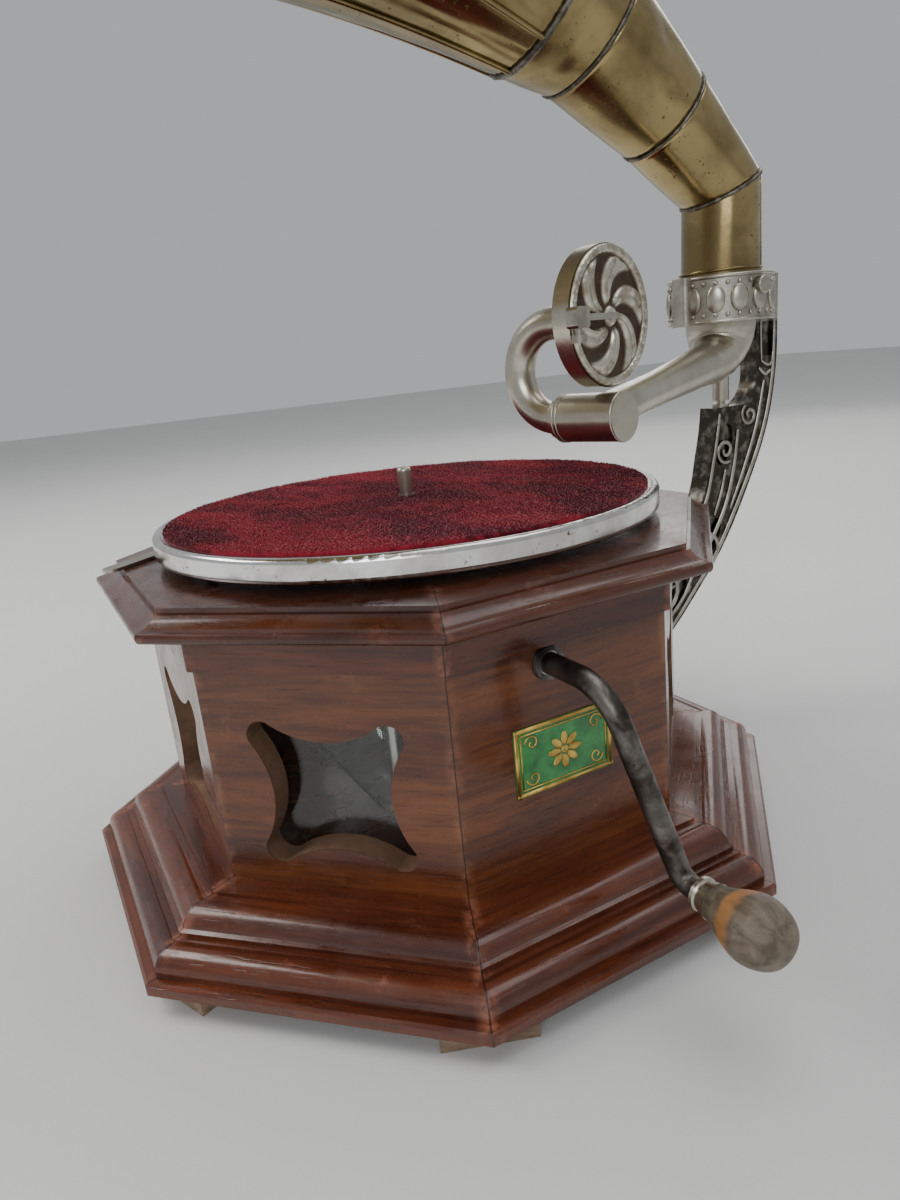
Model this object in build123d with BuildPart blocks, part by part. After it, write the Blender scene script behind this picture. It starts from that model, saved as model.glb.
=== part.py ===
from build123d import *
import os
from math import atan2, cos, degrees, exp, hypot, pi, radians, sin, sqrt, tan

os.makedirs("parts", exist_ok=True)

# Wind-up table phonograph with an eight-sided case and an outside horn.
# Frame: the origin is on the turntable spindle at the top of the mat, +Z up,
# +X towards the crank side, -Y towards the front, +Y towards the horn bracket.
# All lengths are millimetres and all angles degrees.

# ---------------------------------------------------------------- driving sizes
table_z = -181.0                 # the surface that the feet stand on
foot_height = 10.0
board_thick = 5.0
board_apothem = 175.0            # fourteen inches across the flats
case_apothem = 130.0
case_inner = 118.0
lid_apothem = 150.0
lid_board_apothem = 137.5
lid_top = -17.0
lid_bottom = -28.5
frieze_bottom = -46.5
frieze_proud = 2.5
lower_moulding_top = table_z + 26.0
upper_moulding_top = table_z + 36.5
half_side = 22.5                 # half the angle that one side of the octagon takes
glue_line = 0.05                 # joint left at each mitre
board_top = table_z + foot_height + board_thick

window_z = -101.5                # middle of the window openings
window_lobe = 34.0               # half the width over the corner lobes
window_waist = 26.2              # half the width between the side notches
glass_thick = 2.0

platter_radius = 127.0           # a ten inch turntable
rim_width = 5.1
rim_depth = 11.0
mat_thick = 2.5
spindle_pin_radius = 3.6
spindle_pin_length = 12.0

gear_module = 1.0
barrel_teeth = 80
barrel_pinion_teeth = 10
wheel_teeth = 55
spindle_pinion_teeth = 11
worm_wheel_teeth = 36
worm_starts = 4
crown_teeth = 30
winding_teeth = 10
winding_module = 1.5
barrel_at = (48.0, -8.0)
shaft_y = -8.0
shaft_z = -54.0
shaft_radius = 5.0
journal_radius = 3.0
fit = 0.05                       # running clearance on a radius
gap = 0.3                        # clearance between bodies that pass each other
plate_thick = 3.0
upper_plate = -43.0              # underside of the upper motor plate
lower_plate = -119.0             # underside of the lower motor plate
governor_x = -23.7
governor_z = -65.5

crank_radius = 80.0
crank_angle = 13.0               # the crank hangs a little to the back
crank_rod_radius = 4.5
crank_knee_x = 166.0
crank_foot_x = 184.0

pivot_y = 225.0                  # upright axis of the tone arm and of the horn
ring_bottom = 69.0
ring_seat = 81.0
ring_top = 96.0
ring_radius = 30.0
foot_low = -141.0                # the bracket's foot plate on the back panel
foot_high = -61.0
foot_screws = [(side, height) for side in (-19, 19) for height in (foot_high - 9, foot_low + 9)]
screw_reach = 9.0
arm_azimuth = 28.0               # from straight forward towards the crank side
arm_length = 198.0
arm_end_z = 34.0
cross_azimuth = 17.0             # eleven degrees off square to the arm
cross_radius = 10.5
cross_half = 16.0
gooseneck_radius = 7.0
gooseneck_wall = 1.2
neck_rise = 41.0                 # between the two legs of the gooseneck
soundbox_radius = 28.5

horn_wall = 0.7
neck_radius = 23.3
# seams of the elbow: distance back, height, radius, and upward tilt of the seam's axis
horn_seams = ((225.0, 144.0, neck_radius, 64.0), (181.0, 181.0, 27.0, 38.0),
              (131.0, 217.0, 33.5, 33.0), (102.0, 233.0, 40.5, 28.0))
bell_tilt = 28.0
bell_length = 320.0
petal_count = 10


# the intermediate wheel stands where it meets both the barrel and the spindle
barrel_reach = gear_module * (barrel_teeth + barrel_pinion_teeth) / 2
wheel_reach = gear_module * (wheel_teeth + spindle_pinion_teeth) / 2
barrel_far = hypot(*barrel_at)
barrel_bearing = atan2(barrel_at[1], barrel_at[0])
wheel_along = (wheel_reach ** 2 - barrel_reach ** 2 + barrel_far ** 2) / (2 * barrel_far)
wheel_across = sqrt(wheel_reach ** 2 - wheel_along ** 2)
wheel_at = (wheel_along * cos(barrel_bearing) - wheel_across * sin(barrel_bearing),
            wheel_along * sin(barrel_bearing) + wheel_across * cos(barrel_bearing))
wheel_from_spindle = degrees(atan2(wheel_at[1], wheel_at[0]))
wheel_from_barrel = degrees(atan2(wheel_at[1] - barrel_at[1], wheel_at[0] - barrel_at[0]))


# ---------------------------------------------------------------- shared shapes
def octagon(apothem):
    """One eight-sided outline with a flat facing +X."""
    return RegularPolygon(apothem, 8, major_radius=False, rotation=half_side)


def side_wedge():
    """The block that one side of the case may fill, cut to its two mitres."""
    start = glue_line / sin(radians(half_side))
    reach = 220.0
    width = (reach - start) * tan(radians(half_side))
    with BuildPart(mode=Mode.PRIVATE) as wedge:
        with BuildSketch(Plane.XY.offset(table_z)):
            with BuildLine():
                Polyline((start, 0), (reach, -width), (reach, width), close=True)
            make_face()
        extrude(amount=-table_z)
    return wedge.part


def all_round(side, angles):
    """Copies of one side of the case, turned to the given directions."""
    with BuildPart(mode=Mode.PRIVATE) as ring:
        for angle in angles:
            with Locations(Location((0, 0, 0), (0, 0, angle))):
                add(side)
    return ring.part


def gear_points(teeth, module, phase=0.0):
    """Corners of a gear outline, four to a tooth, with its first tooth at phase."""
    pitch_radius = module * teeth / 2
    root = pitch_radius - 1.1 * module
    tip = pitch_radius + 0.8 * module
    step = 360 / teeth
    corners = []
    for tooth in range(teeth):
        for radius, share in ((root, -0.27), (tip, -0.10), (tip, 0.10), (root, 0.27)):
            angle = radians(phase + (tooth + share) * step)
            corners.append((radius * cos(angle), radius * sin(angle)))
    return corners


def mesh_phase(teeth, towards):
    """Phase that puts the gap between two teeth in the given direction."""
    return towards + 180 / teeth


def leaning(y, z, tilt):
    """A plane across the horn, in the middle of the object, facing the mouth."""
    facing = (0, -cos(radians(tilt)), sin(radians(tilt)))
    return Plane(origin=(0, y, z), x_dir=(1, 0, 0), z_dir=facing)


def finish(builder, name):
    """Label one finished sub-part and write it."""
    builder.part.label = name
    export_step(builder.part, f"parts/{name}.step")


every_side = range(0, 360, 45)
crank_side = 0
bracket_side = 90
window_sides = [side for side in every_side if side not in (crank_side, bracket_side)]

# ---------------------------------------------------------------- the case
with BuildPart() as feet:
    with BuildSketch(Plane.XY.offset(table_z)):
        with PolarLocations(163, 8, start_angle=half_side):
            Rectangle(30, 38)
    extrude(amount=foot_height)
finish(feet, "feet")

with BuildPart() as base_board:
    with BuildSketch(Plane.XY.offset(table_z + foot_height)):
        octagon(board_apothem)
    extrude(amount=board_thick)
    chamfer(base_board.faces().sort_by(Axis.Z)[-1].edges(), 1.2)
finish(base_board, "base_board")

# lower plinth moulding: a full convex roll with a small step above it
inner_face = case_apothem + glue_line
roll_foot = (170.0, board_top)
roll_step = (160.5, lower_moulding_top - 1.4)
with BuildPart() as lower_strip:
    with BuildSketch(Plane.XZ):
        with BuildLine():
            Line((inner_face, board_top), roll_foot)
            ThreePointArc(roll_foot, (168.3, board_top + 7), roll_step)
            Polyline(roll_step, (roll_step[0], lower_moulding_top),
                     (inner_face, lower_moulding_top), (inner_face, board_top))
        make_face()
    extrude(amount=90, both=True)
    add(side_wedge(), mode=Mode.INTERSECT)

with BuildPart() as lower_moulding:
    add(all_round(lower_strip.part, every_side))
finish(lower_moulding, "lower_moulding")

# upper plinth moulding: a thin lip, a swelling curve and a flat fillet at the panels
lip_top = (155.8, lower_moulding_top + 2.4)
fillet_foot = (144.6, upper_moulding_top - 1.6)
with BuildPart() as upper_strip:
    with BuildSketch(Plane.XZ):
        with BuildLine():
            Polyline((inner_face, lower_moulding_top), (157.5, lower_moulding_top),
                     (157.5, lower_moulding_top + 1.6), lip_top)
            ThreePointArc(lip_top, (152.6, lower_moulding_top + 7.4), fillet_foot)
            Polyline(fillet_foot, (141.0, upper_moulding_top - 1.6), (141.0, upper_moulding_top),
                     (inner_face, upper_moulding_top), (inner_face, lower_moulding_top))
        make_face()
    extrude(amount=90, both=True)
    add(side_wedge(), mode=Mode.INTERSECT)

with BuildPart() as upper_moulding:
    add(all_round(upper_strip.part, every_side))
finish(upper_moulding, "upper_moulding")

# one plain panel facing +X, standing on the base board up to the lid
panel_middle = (case_apothem + case_inner) / 2
with BuildPart() as plain_panel:
    with BuildSketch(Plane.XY.offset(board_top)):
        with Locations((panel_middle, 0)):
            Rectangle(case_apothem - case_inner, 120)
    extrude(amount=lid_bottom - board_top)
    add(side_wedge(), mode=Mode.INTERSECT)

# the window: four corner lobes joined by hollow curves, top and bottom alike
lobe_side = (window_lobe, 24.0)
lobe_end = (25.0, 32.5)
with BuildPart() as window_panel:
    add(plain_panel.part)
    with BuildSketch(Plane.YZ.offset(case_inner - 1)):
        with Locations((0, window_z)):
            with BuildSketch(mode=Mode.PRIVATE) as opening:
                with BuildLine():
                    for turn_x, turn_y in ((1, 1), (1, -1), (-1, -1), (-1, 1)):
                        ThreePointArc((turn_x * lobe_side[0], turn_y * lobe_side[1]),
                                      (turn_x * 32.2, turn_y * 31.0),
                                      (turn_x * lobe_end[0], turn_y * lobe_end[1]))
                    for turn in (1, -1):
                        ThreePointArc((-lobe_end[0], turn * lobe_end[1]), (0, turn * 24.4),
                                      (lobe_end[0], turn * lobe_end[1]))
                        ThreePointArc((turn * lobe_side[0], -lobe_side[1]),
                                      (turn * window_waist, 0),
                                      (turn * lobe_side[0], lobe_side[1]))
                make_face()
            add(opening.sketch)
    extrude(amount=case_apothem - case_inner + 2, mode=Mode.SUBTRACT)

with BuildPart() as window_panels:
    add(all_round(window_panel.part, window_sides))
finish(window_panels, "window_panels")

with BuildPart() as crank_panel:
    add(plain_panel.part)
    with BuildSketch(Plane.YZ.offset(case_inner - 1)):
        with Locations((shaft_y, shaft_z)):
            Circle(7.05)
    extrude(amount=case_apothem - case_inner + 2, mode=Mode.SUBTRACT)
finish(crank_panel, "crank_panel")

with BuildPart() as bracket_panel:
    add(all_round(plain_panel.part, [bracket_side]))
    with BuildSketch(Plane.XZ.offset(-case_apothem)):
        with Locations(*foot_screws):
            Circle(2.15)
    extrude(amount=screw_reach + 0.3, mode=Mode.SUBTRACT)
finish(bracket_panel, "bracket_panel")

# panes held against the inside of the windows
with BuildPart() as window_pane:
    with BuildSketch(Plane.YZ.offset(case_inner - glass_thick)):
        with Locations((0, window_z)):
            Rectangle(84, 76)
    extrude(amount=glass_thick)

with BuildPart() as window_panes:
    add(all_round(window_pane.part, window_sides))
finish(window_panes, "window_panes")

with BuildPart() as frieze_strip:
    with BuildSketch(Plane.XY.offset(frieze_bottom)):
        with Locations((inner_face + (frieze_proud - glue_line) / 2, 0)):
            Rectangle(frieze_proud - glue_line, 130)
    extrude(amount=lid_bottom - frieze_bottom)
    add(side_wedge(), mode=Mode.INTERSECT)

with BuildPart() as frieze:
    add(all_round(frieze_strip.part, every_side))
finish(frieze, "frieze")

# lid edge moulding: a thin lip, a shallow cove up to a bead, then the flat top
lid_inner = lid_board_apothem + glue_line
cove_foot = (lid_apothem - 0.8, lid_bottom + 4.2)
cove_head = (141.0, lid_top - 2.4)
with BuildPart() as lid_strip:
    with BuildSketch(Plane.XZ):
        with BuildLine():
            Polyline((lid_inner, lid_bottom), (lid_apothem - 1.2, lid_bottom))
            ThreePointArc((lid_apothem - 1.2, lid_bottom), (lid_apothem, lid_bottom + 2.1), cove_foot)
            ThreePointArc(cove_foot, (144.2, lid_bottom + 5.8), cove_head)
            Polyline(cove_head, (139.4, lid_top - 2.4), (139.4, lid_top),
                     (lid_inner, lid_top), (lid_inner, lid_bottom))
        make_face()
    extrude(amount=90, both=True)
    add(side_wedge(), mode=Mode.INTERSECT)

with BuildPart() as lid_moulding:
    add(all_round(lid_strip.part, every_side))
finish(lid_moulding, "lid_moulding")

# the lid is the motor board: the motor hangs from it on three bolts
bolt_places = ((80.0, -24.0), (80.0, 30.0), (-36.0, 0.0))
brake_at = (-62.0, -104.0)
with BuildPart() as lid_board:
    with BuildSketch(Plane.XY.offset(lid_bottom)):
        octagon(lid_board_apothem)
        Circle(14, mode=Mode.SUBTRACT)
        with Locations(*bolt_places):
            Circle(2.3, mode=Mode.SUBTRACT)
        with Locations(brake_at):
            Circle(2.0, mode=Mode.SUBTRACT)
    extrude(amount=lid_top - lid_bottom)
finish(lid_board, "lid_board")

# plain transfer plate on the crank panel, framed, with a raised rosette
plate_middle = (-2.5, -94.0)
with BuildPart() as decal_plate:
    with BuildSketch(Plane.YZ.offset(case_apothem)):
        with Locations(plate_middle):
            Rectangle(49, 30.5)
    extrude(amount=0.3)
    with BuildSketch(Plane.YZ.offset(case_apothem + 0.3)):
        with Locations(plate_middle):
            Rectangle(49, 30.5)
            Rectangle(44, 25.5, mode=Mode.SUBTRACT)
            Circle(3)
            with PolarLocations(6, 8):
                Ellipse(3.4, 1.5)
    extrude(amount=0.2)
finish(decal_plate, "decal_plate")

# bush that the winding shaft turns in, let into the crank panel
with BuildPart() as shaft_bush:
    with BuildSketch(Plane.YZ.offset(case_inner - 2)):
        with Locations((shaft_y, shaft_z)):
            Circle(7.0)
            Circle(shaft_radius + fit, mode=Mode.SUBTRACT)
    extrude(amount=case_apothem - case_inner + 4)
    with BuildSketch(Plane.YZ.offset(case_apothem)):
        with Locations((shaft_y, shaft_z)):
            Circle(7.4)
            Circle(shaft_radius + fit, mode=Mode.SUBTRACT)
    extrude(amount=1.2)
finish(shaft_bush, "shaft_bush")

# ---------------------------------------------------------------- the motor
plate_middle_x = 23.0
plate_middle_y = -3.0
pillar_places = ((-41.0, -61.0), (-40.0, 16.0), (86.0, -58.0), (86.0, 48.0))
lever_at = (4.0, -56.0)


def motor_plate(bottom, extra_holes):
    """One steel frame plate with its bearing holes; extra holes are (x, y, radius)."""
    holes = [(0, 0, 4.5 + fit), (*barrel_at, journal_radius + fit),
             (*wheel_at, journal_radius - 1 + fit)]
    with BuildPart(mode=Mode.PRIVATE) as plate:
        with BuildSketch(Plane.XY.offset(bottom)):
            with Locations((plate_middle_x, plate_middle_y)):
                RectangleRounded(142, 130, 14)
            for x, y, radius in holes + extra_holes:
                with Locations((x, y)):
                    Circle(radius, mode=Mode.SUBTRACT)
        extrude(amount=plate_thick)
    return plate.part


with BuildPart() as motor_plate_top:
    add(motor_plate(upper_plate, [(*place, 2.1) for place in bolt_places] + [(*lever_at, 1.5 + fit)]))
finish(motor_plate_top, "motor_plate_top")

with BuildPart() as motor_plate_bottom:
    add(motor_plate(lower_plate, []))
finish(motor_plate_bottom, "motor_plate_bottom")

plate_gap_bottom = lower_plate + plate_thick
with BuildPart() as motor_pillars:
    with BuildSketch(Plane.XY.offset(plate_gap_bottom)):
        with Locations(*pillar_places):
            Circle(4)
    extrude(amount=upper_plate - plate_gap_bottom)
finish(motor_pillars, "motor_pillars")

# bolts with a flat head above the lid and a nut under the plate
with BuildPart() as motor_bolts:
    for place in bolt_places:
        with BuildSketch(Plane.XY.offset(upper_plate - 6)):
            with Locations(place):
                Circle(2)
        extrude(amount=lid_top - upper_plate + 6)
        with BuildSketch(Plane.XY.offset(lid_top)):
            with Locations(place):
                Circle(4.5)
        extrude(amount=1.5)
        with BuildSketch(Plane.XY.offset(upper_plate - 3)):
            with Locations(place):
                RegularPolygon(4, 6)
        extrude(amount=3)
finish(motor_bolts, "motor_bolts")

with BuildPart() as motor_grommets:
    with BuildSketch(Plane.XY.offset(upper_plate + plate_thick)):
        with Locations(*bolt_places):
            Circle(6.5)
            Circle(2.05, mode=Mode.SUBTRACT)
    extrude(amount=lid_bottom - upper_plate - plate_thick)
finish(motor_grommets, "motor_grommets")

# spring barrel: a drum with the great wheel cut on its foot
barrel_bottom = -107.0
barrel_rim_top = -103.0
barrel_lid_z = -77.5
drum_radius = 37.0
drum_wall = 1.5
with BuildPart() as barrel_drum:
    with BuildSketch(Plane.XY.offset(barrel_bottom)):
        with Locations(barrel_at):
            with BuildSketch(mode=Mode.PRIVATE) as great_wheel:
                with BuildLine():
                    Polyline(*gear_points(barrel_teeth, gear_module, wheel_from_barrel),
                             close=True)
                make_face()
            add(great_wheel.sketch)
    extrude(amount=barrel_rim_top - barrel_bottom)
    with BuildSketch(Plane.XY.offset(barrel_bottom)):
        with Locations(barrel_at):
            Circle(drum_radius)
    extrude(amount=barrel_lid_z - barrel_bottom)
    with BuildSketch(Plane.XY.offset(barrel_bottom + drum_wall)):
        with Locations(barrel_at):
            Circle(drum_radius - drum_wall)
    extrude(amount=barrel_lid_z - barrel_bottom, mode=Mode.SUBTRACT)
    with BuildSketch(Plane.XY.offset(barrel_bottom - 1)):
        with Locations(barrel_at):
            Circle(shaft_radius + fit)
    extrude(amount=drum_wall + 2, mode=Mode.SUBTRACT)
finish(barrel_drum, "barrel_drum")

with BuildPart() as barrel_lid:
    with BuildSketch(Plane.XY.offset(barrel_lid_z)):
        with Locations(barrel_at):
            Circle(drum_radius)
            Circle(shaft_radius + fit, mode=Mode.SUBTRACT)
    extrude(amount=drum_wall)
finish(barrel_lid, "barrel_lid")

# the mainspring lies wound in half turns, each a little larger than the last
spring_start = 8.0
spring_pitch = 2.0
spring_thick = 0.6
half_turns = 24


def half_turn_arcs(first_radius):
    """A spiral of half circles that starts at the first radius."""
    for half in range(half_turns):
        side = 1 if half % 2 == 0 else -1
        start = first_radius + half * spring_pitch / 2
        ThreePointArc((side * start, 0), (0, side * (start + spring_pitch / 4)),
                      (-side * (start + spring_pitch / 2), 0))


with BuildPart() as mainspring:
    with BuildSketch(Plane.XY.offset(barrel_bottom + drum_wall + gap)):
        with Locations(barrel_at):
            with BuildSketch(mode=Mode.PRIVATE) as coil:
                with BuildLine():
                    half_turn_arcs(spring_start)
                    half_turn_arcs(spring_start + spring_thick)
                    Line((spring_start, 0), (spring_start + spring_thick, 0))
                    last = spring_start + half_turns * spring_pitch / 2
                    Line((last, 0), (last + spring_thick, 0))
                make_face()
            add(coil.sketch)
    extrude(amount=barrel_lid_z - barrel_bottom - drum_wall - 2 * gap)
finish(mainspring, "mainspring")


def turned(place, profile):
    """A turned shaft on an upright axis; the profile lists (radius, bottom, top)."""
    with BuildPart(mode=Mode.PRIVATE) as shaft:
        for radius, bottom, top in profile:
            with BuildSketch(Plane.XY.offset(bottom)):
                with Locations(place):
                    Circle(radius)
            extrude(amount=top - bottom)
    return shaft.part


with BuildPart() as winding_arbor:
    add(turned(barrel_at, ((journal_radius, lower_plate, plate_gap_bottom + gap),
                           (shaft_radius, plate_gap_bottom + gap, upper_plate - gap),
                           (journal_radius, upper_plate - gap, upper_plate + plate_thick))))
finish(winding_arbor, "winding_arbor")

# crown wheel with upright teeth, driven by the pinion on the winding shaft
crown_deck = -64.0
crown_middle = 22.25
with BuildPart() as crown_wheel:
    with BuildSketch(Plane.XY.offset(crown_deck - 4)):
        with Locations(barrel_at):
            Circle(25.5)
            Circle(shaft_radius + 0.02, mode=Mode.SUBTRACT)
    extrude(amount=4)
    with BuildSketch(Plane.XY.offset(crown_deck)):
        with Locations(barrel_at):
            with PolarLocations(crown_middle, crown_teeth):
                Rectangle(6.4, 1.3)
    extrude(amount=3.1)
finish(crown_wheel, "crown_wheel")

# ratchet wheel with saw teeth just under the upper plate
ratchet_z = -50.0
ratchet_teeth = 16
ratchet_tip = 12.0
with BuildPart() as ratchet_wheel:
    saw = []
    for tooth in range(ratchet_teeth):
        angle = radians(tooth * 360 / ratchet_teeth)
        saw.append((ratchet_tip * cos(angle), ratchet_tip * sin(angle)))
        saw.append(((ratchet_tip - 2) * cos(angle), (ratchet_tip - 2) * sin(angle)))
    with BuildSketch(Plane.XY.offset(ratchet_z)):
        with Locations(barrel_at):
            with BuildSketch(mode=Mode.PRIVATE) as saw_wheel:
                with BuildLine():
                    Polyline(*saw, close=True)
                make_face()
            add(saw_wheel.sketch)
            Circle(shaft_radius + 0.02, mode=Mode.SUBTRACT)
    extrude(amount=3.5)
finish(ratchet_wheel, "ratchet_wheel")

pawl_at = (26.0, 2.0)
pawl_tip = (35.4, -3.2)
with BuildPart() as ratchet_pawl:
    with BuildSketch(Plane.XY.offset(ratchet_z)):
        with Locations(pawl_at):
            Circle(3)
        with BuildLine():
            Polyline((pawl_at[0] - 1, pawl_at[1] - 2.6), (pawl_at[0] + 2, pawl_at[1] + 2.2),
                     pawl_tip, close=True)
        make_face()
    extrude(amount=3.5)
    with BuildSketch(Plane.XY.offset(ratchet_z + 3.5)):
        with Locations(pawl_at):
            Circle(2)
    extrude(amount=upper_plate - gap - ratchet_z - 3.5)
finish(ratchet_pawl, "ratchet_pawl")

# winding shaft with its pinion, lying along X above the crown wheel
winding_pinion_x = barrel_at[0] + 19
with BuildPart() as winding_shaft:
    with BuildSketch(Plane.YZ.offset(winding_pinion_x - 2)):
        with Locations((shaft_y, shaft_z)):
            Circle(shaft_radius)
    extrude(amount=case_apothem + 1.5 - winding_pinion_x + 2)
    with BuildSketch(Plane.YZ.offset(winding_pinion_x)):
        with Locations((shaft_y, shaft_z)):
            with BuildSketch(mode=Mode.PRIVATE) as winding_pinion:
                with BuildLine():
                    Polyline(*gear_points(winding_teeth, winding_module,
                                          mesh_phase(winding_teeth, -90)), close=True)
                make_face()
            add(winding_pinion.sketch)
    extrude(amount=6.5)
finish(winding_shaft, "winding_shaft")

with BuildPart() as shaft_bracket:
    with BuildSketch(Plane.YZ.offset(84)):
        with Locations((shaft_y, (upper_plate + shaft_z - 8) / 2)):
            Rectangle(18, upper_plate - shaft_z + 8)
        with Locations((shaft_y, shaft_z)):
            Circle(shaft_radius + fit, mode=Mode.SUBTRACT)
    extrude(amount=5)
finish(shaft_bracket, "shaft_bracket")

# intermediate arbor, with the pinion that the barrel drives cut on it
with BuildPart() as intermediate_arbor:
    add(turned(wheel_at, ((journal_radius - 1, lower_plate, plate_gap_bottom + gap),
                          (journal_radius, plate_gap_bottom + gap, upper_plate - gap),
                          (journal_radius - 1, upper_plate - gap, upper_plate + plate_thick))))
    with BuildSketch(Plane.XY.offset(barrel_bottom - 1)):
        with Locations(wheel_at):
            with BuildSketch(mode=Mode.PRIVATE) as barrel_pinion:
                with BuildLine():
                    Polyline(*gear_points(barrel_pinion_teeth, gear_module,
                                          mesh_phase(barrel_pinion_teeth, wheel_from_barrel + 180)),
                             close=True)
                make_face()
            add(barrel_pinion.sketch)
    extrude(amount=6)
finish(intermediate_arbor, "intermediate_arbor")

wheel_bottom = lower_plate + 7
wheel_spokes = 5
with BuildPart() as intermediate_wheel:
    with BuildSketch(Plane.XY.offset(wheel_bottom)):
        with Locations(wheel_at):
            with BuildSketch(mode=Mode.PRIVATE) as wheel_blank:
                with BuildLine():
                    Polyline(*gear_points(wheel_teeth, gear_module,
                                          mesh_phase(wheel_teeth, wheel_from_spindle + 180)),
                             close=True)
                make_face()
                with PolarLocations(15, wheel_spokes):
                    Circle(6, mode=Mode.SUBTRACT)
            add(wheel_blank.sketch)
            Circle(journal_radius + 0.02, mode=Mode.SUBTRACT)
    extrude(amount=3)
finish(intermediate_wheel, "intermediate_wheel")

# turntable spindle: pinion below, platter seat above the lid, record pin on top
seat_top = -12.0
with BuildPart() as spindle:
    add(turned((0, 0), ((journal_radius, lower_plate, plate_gap_bottom + gap),
                        (4.5, plate_gap_bottom + gap, seat_top - 2),
                        (8, seat_top - 2, seat_top), (4.0, seat_top, 0),
                        (spindle_pin_radius, 0, spindle_pin_length + 2))))
    fillet(spindle.edges().group_by(Axis.Z)[-1], 2)
    with BuildSketch(Plane.XY.offset(wheel_bottom - 1)):
        with BuildLine():
            Polyline(*gear_points(spindle_pinion_teeth, gear_module, wheel_from_spindle), close=True)
        make_face()
    extrude(amount=5)
finish(spindle, "spindle")

worm_wheel_bottom = -69.0
with BuildPart() as worm_wheel:
    with BuildSketch(Plane.XY.offset(worm_wheel_bottom)):
        with BuildLine():
            Polyline(*gear_points(worm_wheel_teeth, gear_module), close=True)
        make_face()
        Circle(4.52, mode=Mode.SUBTRACT)
    extrude(amount=7)
finish(worm_wheel, "worm_wheel")


def governor_plane(y):
    """A plane across the governor shaft, facing back."""
    return Plane(origin=(governor_x, y, governor_z), x_dir=(1, 0, 0), z_dir=(0, 1, 0))


# governor shaft with its worm, a four start thread made as a twisted cross
shaft_front = -62.0
shaft_back = 34.0
worm_half = 9.0
worm_radius = 4.6
collar_front = -24.0
collar_back = -20.0
worm_twist = 360 * 2 * worm_half / (worm_starts * pi * gear_module)
with BuildSketch(governor_plane(-worm_half)) as worm_section:
    Circle(3.2)
    Rectangle(2 * worm_radius, 1.6)
    Rectangle(1.6, 2 * worm_radius)
worm_thread = Solid.extrude_linear_with_rotation(worm_section.sketch.face(),
                                                 (governor_x, -worm_half, governor_z),
                                                 (0, 2 * worm_half, 0), worm_twist)
with BuildPart() as governor_shaft:
    with BuildSketch(governor_plane(shaft_front)):
        Circle(2)
    extrude(amount=shaft_back - shaft_front)
    with BuildSketch(governor_plane(collar_front)):
        Circle(5.5)
    extrude(amount=collar_back - collar_front)
    add(worm_thread)
finish(governor_shaft, "governor_shaft")

disc_front = -51.6
disc_back = -50.0
hub_back = -46.0
with BuildPart() as governor_disc:
    with BuildSketch(governor_plane(disc_front)):
        Circle(18)
        Circle(2.02, mode=Mode.SUBTRACT)
    extrude(amount=disc_back - disc_front)
    with BuildSketch(governor_plane(disc_back)):
        Circle(5.5)
        Circle(2.02, mode=Mode.SUBTRACT)
    extrude(amount=hub_back - disc_back)
finish(governor_disc, "governor_disc")

# three leaf springs, each with a weight on its back, from the collar to the disc hub
weight_count = 3
leaf_middle = (collar_front + hub_back) / 2


def leaf_plane(turn):
    """The plane through the governor shaft that one leaf spring bends in."""
    return Plane(origin=(governor_x, 0, governor_z), x_dir=(0, 1, 0),
                 z_dir=(sin(radians(turn)), 0, -cos(radians(turn))))


leaf_turns = [30 + turn * 360 / weight_count for turn in range(weight_count)]
leaf_front = hub_back - 2
leaf_back = collar_front + 2
with BuildPart() as governor_springs:
    for turn in leaf_turns:
        with BuildSketch(leaf_plane(turn)):
            with BuildLine():
                ThreePointArc((leaf_front, 5.6), (leaf_middle, 12.0), (leaf_back, 5.6))
                Line((leaf_back, 5.6), (leaf_back, 6.2))
                ThreePointArc((leaf_back, 6.2), (leaf_middle, 12.5), (leaf_front, 6.2))
                Line((leaf_front, 6.2), (leaf_front, 5.6))
            make_face()
        extrude(amount=2, both=True)
finish(governor_springs, "governor_springs")

with BuildPart() as governor_weights:
    for turn in leaf_turns:
        with BuildSketch(leaf_plane(turn)):
            with Locations((leaf_middle, 15.1)):
                RectangleRounded(8, 5, 1)
        extrude(amount=4, both=True)
finish(governor_weights, "governor_weights")

bracket_drop = governor_z - 6
with BuildPart() as governor_brackets:
    for front in (shaft_front, shaft_back - 4):
        with BuildSketch(governor_plane(front)):
            with Locations((0, (governor_z - upper_plate + governor_z - bracket_drop) / 2)):
                Rectangle(12, upper_plate - bracket_drop)
            Circle(2 + fit, mode=Mode.SUBTRACT)
        extrude(amount=4)
finish(governor_brackets, "governor_brackets")

# speed lever with its felt pad, which rubs on the governor disc
lever_end_x = -17.0
lever_back = lever_at[1] + 0.3
with BuildPart() as regulator_lever:
    with BuildSketch(Plane.XY.offset(shaft_z - 2)):
        with Locations(lever_at):
            Circle(3.5)
    extrude(amount=upper_plate - gap - shaft_z + 2)
    with BuildSketch(Plane.XY.offset(upper_plate - gap)):
        with Locations(lever_at):
            Circle(1.5)
    extrude(amount=plate_thick + gap)
    with BuildSketch(Plane.XY.offset(shaft_z - 2)):
        with Locations(((lever_end_x + lever_at[0]) / 2, lever_back - 0.75)):
            Rectangle(lever_at[0] - lever_end_x, 1.5)
    extrude(amount=6)
finish(regulator_lever, "regulator_lever")

with BuildPart() as regulator_pad:
    with BuildSketch(Plane(origin=(lever_end_x + 3, lever_back, shaft_z + 1),
                           x_dir=(1, 0, 0), z_dir=(0, 1, 0))):
        Circle(3)
    extrude(amount=disc_front - 0.6 - lever_back)
finish(regulator_pad, "regulator_pad")

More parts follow.
